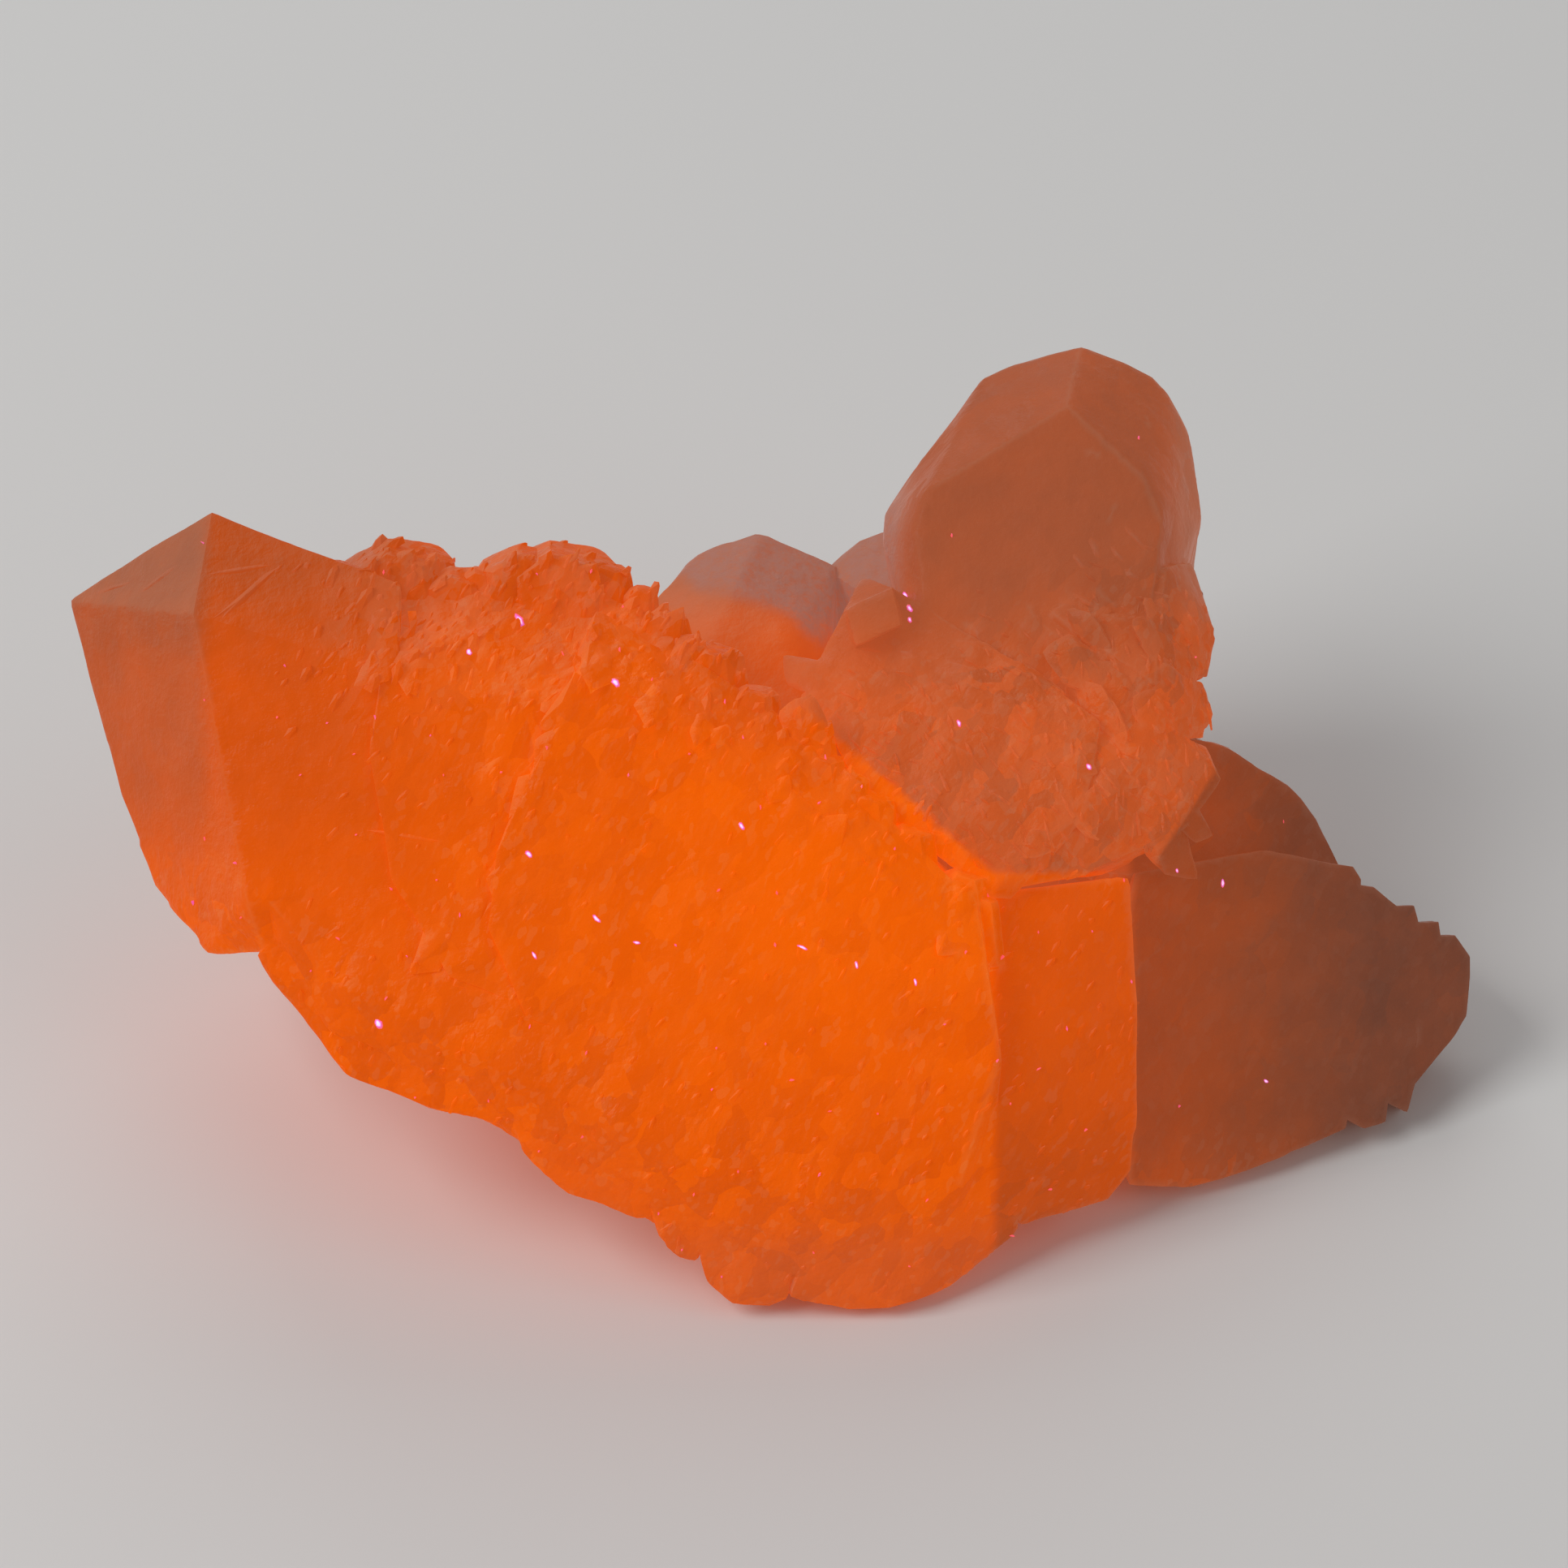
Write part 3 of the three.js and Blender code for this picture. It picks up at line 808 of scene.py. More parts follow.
@dataclass(frozen=True)
class CalciteFinish:
    """Milky calcite that glows orange, with a painted highlight on faces that lie the caps' way and a fine
    flaky grain.
    """

    name: str = "glowing_calcite"
    emission_strength: float = 0.59
    body_share: float = 0.52
    subsurface_weight: float = 0.12
    subsurface_radius: Triple = (1.0, 0.35, 0.12)
    subsurface_mm: float = 1.2
    roughness: Pair = (0.28, 0.52)
    index: float = 1.5
    specular: float = 0.05
    sheen_weight: float = 0.10
    sheen_roughness: float = 0.3
    sheen_tint: Triple = linear(255, 160, 120)
    glow_stops: Stops = (
        (0.0, linear(104, 56, 38)),
        (0.20, linear(142, 66, 34)),
        (0.42, linear(182, 74, 22)),
        (0.66, linear(214, 82, 12)),
        (0.84, linear(232, 89, 4)),
        (1.0, linear(248, 99, 0)),
    )
    # Paler colours, for painted highlights on faces and sharp edges and for the haze, flecks and growth
    # steps.
    pale_and_highlight_stops: Stops = (
        (0.0, linear(124, 82, 66)),
        (0.35, linear(168, 100, 72)),
        (0.7, linear(214, 110, 66)),
        (1.0, linear(248, 124, 48)),
    )
    # The white of the painted reflection on the tips of the crystals in the gap.
    whitening_colour: Triple = linear(164, 112, 98)
    # Painted highlight: faces that turn this way, up, left and towards the viewer, are made paler as if
    # lit.
    highlight_direction: Triple = (-0.60, 0.65, 0.45)
    highlight_share: float = 0.80
    # How strong the painted highlight along sharp outer edges is.
    edge_highlight_share: float = 0.30
    streak_share: float = 0.14
    fleck_share: float = 0.26
    step_share: float = 0.46
    drift_share: float = 0.20
    speckle_share: float = 0.16
    highlight_facing: Pair = (0.50, 0.97)
    stroke_levels: Pair = (0.52, 0.74)
    fleck_levels: Pair = (0.88, 0.93)
    wobble_scale: float = 0.45
    wobble_size: float = 1.6
    plain_bump: float = 0.05
    grain_bump: float = 0.95
    swell_bump: float = 0.30
    step_run: Triple = (0.85, -0.5, 0.15)
    steps_per_mm: float = 0.24
    lumps: tuple[tuple[Weave, float], ...] = (
        (Weave(1.5, (24.0, 18.0, 57.0), 1.8), 0.20),
        (Weave(0.62, (-20.0, 12.0, 48.0), 1.5), 0.10),
        (Weave(0.28, (15.0, -24.0, 66.0), 1.3), 0.035),
    )
    strokes: Weave = Weave(0.34, (0.0, 0.0, 64.0), 5.0)
    flecks: Weave = Weave(0.36, (0.0, 0.0, 62.0), 2.0)
    terraces: tuple[tuple[Weave, float], ...] = (
        (Weave(2.6, (8.0, -12.0, 55.0), 1.7), 0.85),
        (Weave(1.0, (0.0, 14.0, 60.0), 1.5), 0.30),
    )

    def material(self) -> bpy.types.Material:
        """Builds the finish.

        Returns:
            The material.
        """
        made = bpy.data.materials.new(self.name)
        made.use_nodes = True
        made.node_tree.nodes.clear()
        tree = Tree(made.node_tree)
        places = self.showing_places(tree)
        grain = tree.painted(Layer.GRAIN)
        bumped, flakes = self.bumps(tree, places, grain)
        level = self.level(tree, places, grain, flakes)
        # The real paleness and the painted highlights together, as one share of the paler colours.
        pale = self.pale_tone_and_highlight(tree, places, grain, bumped)
        glowing = tree.mixed(pale, tree.ramp(level, self.glow_stops), tree.ramp(level, self.pale_and_highlight_stops))
        colour = tree.mixed(self.mottled(tree, places), glowing, (*self.whitening_colour, 1.0))
        inputs = {
            "Base Color": tree.mixed(1.0 - self.body_share, colour, (0.0, 0.0, 0.0, 1.0)),
            "Emission Color": colour,
            "Emission Strength": self.emission_strength,
            "Roughness": tree.mapped(flakes, 0.0, 1.0, *self.roughness),
            "Normal": bumped,
            "Subsurface Weight": self.subsurface_weight,
            "Subsurface Radius": self.subsurface_radius,
            "Subsurface Scale": self.subsurface_mm * MM,
            "IOR": self.index,
            "Specular IOR Level": self.specular,
            "Sheen Weight": self.sheen_weight,
            "Sheen Roughness": self.sheen_roughness,
            "Sheen Tint": (*self.sheen_tint, 1.0),
        }
        shader = tree.add("ShaderNodeBsdfPrincipled", inputs)
        tree.add("ShaderNodeOutputMaterial", {"Surface": shader.outputs[0]})
        return made

    def mottled(self, tree: Tree, places: Socket) -> Socket:
        """The whitening, mostly painted reflection, with its fine speckle.

        Args:
            tree: The finish's tree.
            places: Showing places in millimetres.

        Returns:
            The socket with the share of white.
        """
        speckle = tree.noise(places, scale=1.6, detail=5.0, roughness=0.7)
        return tree.times(tree.painted(Layer.WHITENING), tree.mapped(speckle, 0.30, 0.62, 0.55, 1.1))

    def showing_places(self, tree: Tree) -> Socket:
        """Places on the showing side in millimetres, from Object coordinates.

        Args:
            tree: The finish's tree.

        Returns:
            The socket with the places.
        """
        lift = SHOWING.lift_mm
        shift = (0.0, -lift * math.sin(SHOWING.lean), -lift * math.cos(SHOWING.lean))
        source = tree.add("ShaderNodeTexCoord").outputs["Object"]
        inputs = {
            "Vector": source,
            "Location": shift,
            "Rotation": (-SHOWING.lean, 0.0, 0.0),
            "Scale": (1.0 / MM, 1.0 / MM, 1.0 / MM),
        }
        return tree.add("ShaderNodeMapping", inputs).outputs[0]

    def streaked(self, tree: Tree, places: Socket, weave: Weave) -> Socket:
        """Places turned and stretched for grains that run one way.

        Args:
            tree: The finish's tree.
            places: Showing places in millimetres.
            weave: The grains.

        Returns:
            The socket with the places in grains.
        """
        width = weave.width
        inputs = {"Vector": places, "Scale": self.wobble_scale / width, "Detail": 2.0}
        wobble = tree.add("ShaderNodeTexNoise", inputs).outputs["Color"]
        swing = tree.vectors("SUBTRACT", {0: wobble, 1: (0.5, 0.5, 0.5)})[0]
        swung = tree.vectors("SCALE", {0: swing, "Scale": self.wobble_size * width})[0]
        inputs = {
            "Vector": tree.vectors("ADD", {0: places, 1: swung})[0],
            "Rotation": tuple(math.radians(angle) for angle in weave.turn),
            "Scale": (width * weave.stretch, width, width),
        }
        return tree.add("ShaderNodeMapping", inputs, vector_type="TEXTURE").outputs[0]

    def bumps(self, tree: Tree, places: Socket, grain: Socket) -> tuple[Socket, Socket]:
        """The fine relief that is smaller than the mesh.

        Args:
            tree: The finish's tree.
            places: Showing places in millimetres.
            grain: How flaky the surface is.

        Returns:
            The bumped normal, and a random number for each small flake.
        """
        total = None
        flakes = None
        for weave, height in self.lumps:
            inputs = {"Vector": self.streaked(tree, places, weave), "Scale": 1.0}
            node = tree.add("ShaderNodeTexVoronoi", inputs, distance="CHEBYCHEV", voronoi_dimensions="3D")
            lump = tree.times(node.outputs["Distance"], -height)
            total = lump if total is None else tree.plus(total, lump)
            if flakes is None:
                flakes = tree.add("ShaderNodeSeparateColor", {0: node.outputs["Color"]}).outputs[0]
        cloudy = tree.noise(places, scale=0.5, detail=5.0, roughness=0.62)
        patches = tree.mapped(cloudy, 0.36, 0.62, 0.45, 1.1)
        strength = tree.times(tree.plus(tree.times(grain, self.grain_bump), self.plain_bump), patches)
        both = tree.plus(tree.times(total, strength), tree.times(cloudy, self.swell_bump))
        inputs = {"Height": both, "Distance": MM, "Strength": 1.0}
        return tree.add("ShaderNodeBump", inputs).outputs[0], flakes

    def level(self, tree: Tree, places: Socket, grain: Socket, flakes: Socket) -> Socket:
        """How strongly each point glows, with its soft clouds and the spread from flake to flake.

        Args:
            tree: The finish's tree.
            places: Showing places in millimetres.
            grain: How flaky the surface is.
            flakes: A random number for each small flake.

        Returns:
            The socket with the level.
        """
        cloud = tree.noise(places, scale=0.22, detail=4.0, roughness=0.6)
        drift = tree.swing(cloud, self.drift_share)
        speckle = tree.times(tree.swing(flakes, grain), self.speckle_share)
        return tree.plus(tree.plus(tree.painted(Layer.GLOW), drift), speckle)

    def pale_tone_and_highlight(self, tree: Tree, places: Socket, grain: Socket, bumped: Socket) -> Socket:
        """How pale each point is: painted highlights on cap-facing faces and sharp edges, flecks, steps and
        haze.

        Args:
            tree: The finish's tree.
            places: Showing places in millimetres.
            grain: How flaky the surface is.
            bumped: The bumped normal.

        Returns:
            The socket with the share.
        """
        # Painted highlight: faces that turn up and to the left get paler, as light from there would make
        # them.
        way = tuple(SHOWING.rest_direction(*self.highlight_direction))
        facing = tree.vectors("DOT_PRODUCT", {0: bumped, 1: way})["Value"]
        frosted = tree.mapped(facing, *self.highlight_facing, 0.0, self.highlight_share)
        frosted = tree.times(frosted, tree.painted(Layer.CAP_HIGHLIGHT))
        strokes = tree.noise(self.streaked(tree, places, self.strokes), scale=1.0, detail=3.0)
        strokes = tree.mapped(strokes, *self.stroke_levels, 0.0, self.streak_share)
        picked = self.cells(tree, places, self.flecks)
        picked = tree.mapped(picked, *self.fleck_levels, 0.0, self.fleck_share)
        flecks = tree.maths("MAXIMUM", strokes, picked)
        flecks = tree.times(flecks, tree.mapped(grain, 0.0, 0.6, 0.0, 0.9))
        steps = tree.times(self.growth_steps(tree, places), tree.painted(Layer.STEPS))
        # Painted highlight along the sharp outer edges.
        edges = tree.times(tree.painted(Layer.EDGE_HIGHLIGHT), self.edge_highlight_share)
        skin = tree.maths("MAXIMUM", tree.maths("MAXIMUM", frosted, edges), steps)
        total = tree.plus(skin, tree.plus(tree.painted(Layer.HAZE), flecks))
        return tree.maths("MINIMUM", total, 1.0)

    def cells(self, tree: Tree, places: Socket, weave: Weave) -> Socket:
        """A random number for each of many small angular cells.

        Args:
            tree: The finish's tree.
            places: Showing places in millimetres.
            weave: The size and run of the cells.

        Returns:
            The socket with the number.
        """
        inputs = {"Vector": self.streaked(tree, places, weave), "Scale": 1.0}
        cell = tree.add("ShaderNodeTexVoronoi", inputs).outputs["Color"]
        return tree.add("ShaderNodeSeparateColor", {0: cell}).outputs[0]

    def growth_steps(self, tree: Tree, places: Socket) -> Socket:
        """Pale steps that brighten towards the lower right and end there in a crisp ragged edge.

        Args:
            tree: The finish's tree.
            places: Showing places in millimetres.

        Returns:
            The socket with the share.
        """
        along = tree.vectors("DOT_PRODUCT", {0: places, 1: self.step_run})["Value"]
        total = tree.times(along, self.steps_per_mm)
        for weave, share in self.terraces:
            total = tree.plus(total, tree.times(self.cells(tree, places, weave), share))
        return tree.mapped(tree.maths("FRACT", total), 0.25, 1.0, 0.0, self.step_share)


@dataclass(frozen=True)
class ClusterSkin:
    """The cluster's surface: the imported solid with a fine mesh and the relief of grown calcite."""

    name: str = "cluster_skin"
    fine_edge: float = 0.50 * MM
    coarse_edge: float = 1.6 * MM
    longest: float = 1.35
    passes: int = 6
    showing_from_mm: float = -9.0
    showing_above: float = 1.5 * MM
    weld: float = 1.0e-6
    flat_deg: float = 0.3
    level_angle: float = 0.01
    sharp_deg: float = 33.0
    highlight_edge_deg: float = 34.0
    swell_mm: float = 0.12
    dent_mm: float = 0.04
    soft_passes: int = 9
    soft_pull: float = 0.5
    reliefs: tuple[Relief, ...] = (
        Relief(cell_mm=4.2, height_mm=0.58, salt=101),
        Relief(cell_mm=2.0, height_mm=0.20, salt=211, stretch=1.9),
    )

    def build(self, solid: bpy.types.Object, finish: bpy.types.Material) -> bpy.types.Object:
        """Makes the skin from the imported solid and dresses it.

        Args:
            solid: The solid's object.
            finish: The calcite's material.

        Returns:
            The skin.
        """
        mesh = self.refined(solid)
        self.paint_edge_highlights(mesh)
        self.soften(mesh)
        self.carve(mesh)
        self.paint(mesh)
        mesh.materials.append(finish)
        for polygon in mesh.polygons:
            polygon.use_smooth = True
        mesh.set_sharp_from_angle(angle=math.radians(self.sharp_deg))
        return placed(self.name, mesh)

    def refined(self, solid: bpy.types.Object) -> bpy.types.Mesh:
        """Copies the solid's mesh and splits its faces until every edge is short.

        Args:
            solid: The solid's object.

        Returns:
            The fine mesh, of the same shape.
        """
        work = bmesh.new()
        work.from_mesh(solid.data)
        bmesh.ops.remove_doubles(work, verts=work.verts, dist=self.weld)
        angle = math.radians(self.flat_deg)
        bmesh.ops.dissolve_limit(work, angle_limit=angle, verts=work.verts, edges=work.edges)
        bmesh.ops.triangulate(work, faces=work.faces)
        for _ in range(self.passes):
            middles = np.array([(edge.verts[0].co + edge.verts[1].co) / 2 for edge in work.edges])
            lengths = np.array([edge.calc_length() for edge in work.edges])
            towards = SHOWING.places(middles)[:, 2]
            shows = (towards > self.showing_from_mm) & (middles[:, 2] > self.showing_above)
            limit = np.where(shows, self.fine_edge, self.coarse_edge) * self.longest
            long_edges = [edge for edge, long in zip(work.edges, lengths > limit) if long]
            if not long_edges:
                break
            bmesh.ops.subdivide_edges(work, edges=long_edges, cuts=1)
            bmesh.ops.triangulate(work, faces=[face for face in work.faces if len(face.verts) > 3])
            flat = [edge for edge in work.edges if edge.calc_face_angle(math.pi) < self.level_angle]
            bmesh.ops.beautify_fill(work, faces=work.faces, edges=flat, method="ANGLE")
        triangles = np.array([[vert.index for vert in face.verts] for face in work.faces])
        places = np.array([vert.co for vert in work.verts])
        work.free()
        mesh = bpy.data.meshes.new(self.name)
        mesh.from_pydata(places.tolist(), [], triangles.tolist())
        mesh.update()
        return mesh

    def paint_edge_highlights(self, mesh: bpy.types.Mesh) -> None:
        """Marks the vertices on a sharp outer edge, where the finish paints a highlight.

        Args:
            mesh: The fine mesh, before it is carved.
        """
        work = bmesh.new()
        work.from_mesh(mesh)
        edge_highlights = np.zeros(len(work.verts))
        for edge in work.edges:
            if edge.is_manifold and edge.calc_face_angle_signed(0.0) > math.radians(self.highlight_edge_deg):
                for vert in edge.verts:
                    edge_highlights[vert.index] = 1.0
        work.free()
        right = SHOWING.places(vertex_places(mesh))[:, 0]
        edge_highlights *= 1.0 - 0.85 * smooth(-33.0, -30.0, right) * smooth(10.5, 9.0, right)
        write_layer(mesh, Layer.EDGE_HIGHLIGHT, edge_highlights)

    def soften(self, mesh: bpy.types.Mesh) -> None:
        """Rounds the edges where the surface is worn or etched, and leaves the flat base alone.

        Args:
            mesh: The fine mesh.
        """
        places = vertex_places(mesh)
        ends = np.empty(len(mesh.edges) * 2, dtype=np.int64)
        mesh.edges.foreach_get("vertices", ends)
        first, second = ends.reshape(-1, 2).T
        count = np.bincount(ends, minlength=len(places))[:, None]
        above_base = smooth(0.05, 0.8, places[:, 2] / MM)
        pull = self.soft_pull * SURFACE.softness(SHOWING.places(places)) * above_base
        for _ in range(self.soft_passes):
            total = np.zeros_like(places)
            for axis in range(3):
                total[:, axis] += np.bincount(first, weights=places[second, axis], minlength=len(places))
                total[:, axis] += np.bincount(second, weights=places[first, axis], minlength=len(places))
            places += (total / count - places) * pull[:, None]
        mesh.vertices.foreach_set("co", places.ravel())
        mesh.update()

    def carve(self, mesh: bpy.types.Mesh) -> None:
        """Gives the mesh its relief, without leaving the solid's box or its flat base.

        Args:
            mesh: The fine mesh.
        """
        rest = vertex_places(mesh)
        normals = vertex_normals(mesh)
        places = SHOWING.places(rest)
        craggy = SURFACE.craggy(places)
        depth = self.swell_mm * soft_noise(places, 7.0, 5) + self.dent_mm * soft_noise(places, 2.2, 9)
        for relief in self.reliefs:
            patchy = 0.75 + 0.35 * soft_noise(places, 5.0, relief.salt + 40)
            depth += (relief.heights(places) - 0.8 * relief.height_mm) * craggy * patchy
        above_base = smooth(0.1, 1.2, rest[:, 2] / MM)
        moved = rest + normals * (depth * above_base * MM)[:, None]
        low, high = rest.min(axis=0), rest.max(axis=0)
        mesh.vertices.foreach_set("co", np.clip(moved, low, high).ravel())
        mesh.update()

    def paint(self, mesh: bpy.types.Mesh) -> None:
        """Paints what the finish and the crops of shards read from place to place.

        Args:
            mesh: The carved mesh.
        """
        paint_looks(mesh)
        places = SHOWING.places(vertex_places(mesh))
        for layer, share in SURFACE.crops(places, vertex_normals(mesh)).items():
            write_layer(mesh, layer, share)


@dataclass(frozen=True)
class GlintFinish:
    """The flash of a tiny facet: pink-white in the middle, violet at its edge."""

    name: str = "glint"
    stops: Stops = (
        (0.0, linear(222, 84, 96)),
        (0.30, linear(206, 92, 190)),
        (0.62, linear(252, 196, 240)),
    )
    emission_strength: float = 0.75
    roughness: float = 0.2
    waves_per_metre: float = 1400.0
    cloud_share: float = 0.8

    def material(self) -> bpy.types.Material:
        """Builds the finish.

        Returns:
            The material.
        """
        made = bpy.data.materials.new(self.name)
        made.use_nodes = True
        tree = Tree(made.node_tree)
        shader = made.node_tree.nodes["Principled BSDF"]
        places = tree.add("ShaderNodeTexCoord").outputs["Object"]
        cloud = tree.noise(places, scale=self.waves_per_metre, detail=2.0)
        share = tree.plus(tree.painted(Layer.CORE), tree.swing(cloud, self.cloud_share))
        colour = tree.ramp(share, self.stops)
        made.node_tree.links.new(colour, shader.inputs["Base Color"])
        made.node_tree.links.new(colour, shader.inputs["Emission Color"])
        shader.inputs["Emission Strength"].default_value = self.emission_strength
        shader.inputs["Roughness"].default_value = self.roughness
        return made


@dataclass(frozen=True)
class Sliver:
    """One thin faceted piece that lies on the skin between two points of the showing side."""

    start: Pair
    end: Pair
    width: float
    rise: float
    sides: int = 8
    uneven: float = 0.22

    @property
    def middle(self) -> list[float]:
        """Its middle on the showing side, right and up."""
        return [(a + b) / 2 for a, b in zip(self.start, self.end)]

    def points(self, tree: BVHTree) -> tuple[list[Vector], list[float]]:
        """Finds its corners: a ring on the skin, a crest above it and a keel below.

        Args:
            tree: The skin to lie on.

        Returns:
            The corners at rest in metres, and how much each one belongs to its middle.
        """
        ring = []
        for place in range(self.sides):
            angle = math.tau * place / self.sides
            bulge = 1.0 + self.uneven * math.sin(2.6 * place + 7.0 * self.middle[0])
            ring.append(self.on_skin(tree, math.cos(angle), bulge * math.sin(angle)))
        middle = self.on_skin(tree, 0.0, 0.0)
        towards = SHOWING.rest_direction(0.0, 0.0, 1.0)
        crest = middle + towards * self.rise * MM
        keel = middle - towards * self.rise * MM
        return [*ring, crest, keel], [0.0] * self.sides + [1.0, 0.0]

    def on_skin(self, tree: BVHTree, along: float, across: float) -> Vector:
        """Finds the place on the skin behind one point of the sliver.

        Args:
            tree: The skin.
            along: How far along its half length the point is.
            across: How far along its half width.

        Returns:
            The place at rest in metres.
        """
        half = [(b - a) / 2 for a, b in zip(self.start, self.end)]
        length = math.hypot(*half)
        side = (-half[1] / length * self.width / 2, half[0] / length * self.width / 2)
        right = (self.middle[0] + half[0] * along + side[0] * across) * MM
        up = (self.middle[1] + half[1] * along + side[1] * across) * MM
        lean = SHOWING.lean
        flat = Vector((right, up * math.cos(lean), up * math.sin(lean) + SHOWING.lift_mm * MM))
        towards = SHOWING.rest_direction(0.0, 0.0, 1.0)
        hit = tree.ray_cast(flat + towards * RAY_START, -towards)[0]
        return hit if hit is not None else flat


@dataclass(frozen=True)
class Slivers:
    """A set of slivers with one finish."""

    name: str
    pieces: tuple[Sliver, ...]

    def build(self, skin: bpy.types.Object, finish: bpy.types.Material) -> bpy.types.Object:
        """Lays the slivers on the skin as one mesh.

        Args:
            skin: The skin to lie on.
            finish: Their material.

        Returns:
            The set.
        """
        tree = BVHTree.FromPolygons(
            [vertex.co for vertex in skin.data.vertices],
            [polygon.vertices for polygon in skin.data.polygons],
        )
        places, cores, faces = [], [], []
        for piece in self.pieces:
            first = len(places)
            found, core = piece.points(tree)
            places += found
            cores += core
            for place in range(piece.sides):
                here, after = first + place, first + (place + 1) % piece.sides
                faces += [(here, after, first + piece.sides), (after, here, first + piece.sides + 1)]
        mesh = bpy.data.meshes.new(self.name)
        mesh.from_pydata(places, [], faces)
        mesh.update()
        paint_looks(mesh)
        write_layer(mesh, Layer.CORE, np.array(cores))
        # The crest of each sliver gets the painted edge highlight.
        write_layer(mesh, Layer.EDGE_HIGHLIGHT, np.array(cores))
        mesh.materials.append(finish)
        return placed(self.name, mesh)


@dataclass(frozen=True)
class Crop:
    """Small pieces that stand on the skin, made by a node tree: wedges that all run roughly one way.

    The size holds a piece's length, width and rise. It and the spacing are in millimetres.
    """

    name: str
    layer: Layer
    size: Triple
    spacing: float
    per_area: float
    run: Triple
    swing_deg: float
    seed: int
    sides: int = 5
    lean: float = 0.8
    sunk: float = 0.35
    tip_radius: float = 0.16
    tilt: float = 0.35
    smallest: Triple = (0.6, 0.65, 0.6)
    largest: Triple = (1.5, 1.3, 1.5)

    def build(self, skin: bpy.types.Object, finish: bpy.types.Material, box: Box) -> bpy.types.Object:
        """Grows the crop on the skin and turns it into a plain mesh.

        Args:
            skin: The skin it stands on.
            finish: The material of the pieces.
            box: The lowest and highest corner that it keeps within.

        Returns:
            The crop.
        """
        grower = placed(self.name + "_grower", skin.data)
        modifier = grower.modifiers.new("grow", "NODES")
        modifier.node_group = self.tree()
        settings = self.settings(finish)
        for item in modifier.node_group.interface.items_tree:
            if item.name in settings:
                modifier[item.identifier] = settings[item.name]
        evaluated = grower.evaluated_get(bpy.context.evaluated_depsgraph_get())
        mesh = bpy.data.meshes.new_from_object(evaluated)
        grower.modifiers.remove(modifier)
        bpy.data.objects.remove(grower)
        mesh.name = self.name
        places = np.clip(vertex_places(mesh), box[0], box[1])
        mesh.vertices.foreach_set("co", places.ravel())
        mesh.update()
        return placed(self.name, mesh)

    def settings(self, finish: bpy.types.Material) -> dict[str, object]:
        """The values of the tree's named inputs.

        Args:
            finish: The material of the pieces.

        Returns:
            Each input's name with its value.
        """
        return {
            "Spacing": self.spacing * MM,
            "Per area": self.per_area / MM**2,
            "Size": tuple(side * MM for side in self.size),
            "Run": tuple(SHOWING.rest_direction(*self.run)),
            "Swing": math.radians(self.swing_deg),
            "Seed": self.seed,
            "Finish": finish,
        }

    def tree(self) -> bpy.types.NodeTree:
        """Builds the node tree.

        Returns:
            The tree, with a named input for each size.
        """
        group = bpy.data.node_groups.new(self.name + "_tree", "GeometryNodeTree")
        group.is_modifier = True
        sockets = {
            "Geometry": "NodeSocketGeometry",
            "Spacing": "NodeSocketFloat",
            "Per area": "NodeSocketFloat",
            "Size": "NodeSocketVector",
            "Run": "NodeSocketVector",
            "Swing": "NodeSocketFloat",
            "Seed": "NodeSocketInt",
            "Finish": "NodeSocketMaterial",
        }
        for name, kind in sockets.items():
            group.interface.new_socket(name=name, in_out="INPUT", socket_type=kind)
        group.interface.new_socket(name="Geometry", in_out="OUTPUT", socket_type="NodeSocketGeometry")
        tree = Tree(group)
        given = tree.add("NodeGroupInput").outputs
        inputs = {"Name": self.layer.value}
        share = tree.add("GeometryNodeInputNamedAttribute", inputs, data_type="FLOAT").outputs[0]
        inputs = {
            "Mesh": given["Geometry"],
            "Distance Min": given["Spacing"],
            "Density Max": given["Per area"],
            "Density Factor": share,
            "Seed": given["Seed"],
        }
        spread = tree.add("GeometryNodeDistributePointsOnFaces", inputs, distribute_method="POISSON")
        inputs = {
            "Points": spread.outputs["Points"],
            "Instance": self.wedge(tree, given["Size"]),
            "Rotation": self.rotation(tree, spread.outputs["Normal"], given),
            "Scale": self.random(tree, self.smallest, self.largest, given["Seed"]),
        }
        stood = tree.add("GeometryNodeInstanceOnPoints", inputs).outputs[0]
        whole = tree.add("GeometryNodeRealizeInstances", {"Geometry": stood}).outputs[0]
        flat = tree.add("GeometryNodeSetShadeSmooth", {"Geometry": whole, "Shade Smooth": False}).outputs[0]
        dressed = tree.add("GeometryNodeSetMaterial", {"Geometry": flat, "Material": given["Finish"]})
        tree.add("NodeGroupOutput", {"Geometry": dressed.outputs[0]})
        return group

    def wedge(self, tree: Tree, size: Socket) -> Socket:
        """One piece: a blunt pyramid that leans forward, partly sunk.

        Args:
            tree: The tree being built.
            size: The socket with its length, width and rise.

        Returns:
            The socket with its mesh.
        """
        inputs = {"Vertices": self.sides, "Radius Top": self.tip_radius, "Radius Bottom": 0.5, "Depth": 1.0}
        cone = tree.add("GeometryNodeMeshCone", inputs, fill_type="NGON").outputs["Mesh"]
        position = tree.add("GeometryNodeInputPosition").outputs[0]
        height = tree.add("ShaderNodeSeparateXYZ", {0: position}).outputs["Z"]
        forward = tree.times(height, self.lean * 0.4)
        shift = tree.add("ShaderNodeCombineXYZ", {"X": forward, "Z": -self.sunk}).outputs[0]
        leaning = tree.add("GeometryNodeSetPosition", {"Geometry": cone, "Offset": shift}).outputs[0]
        return tree.add("GeometryNodeTransform", {"Geometry": leaning, "Scale": size}).outputs[0]

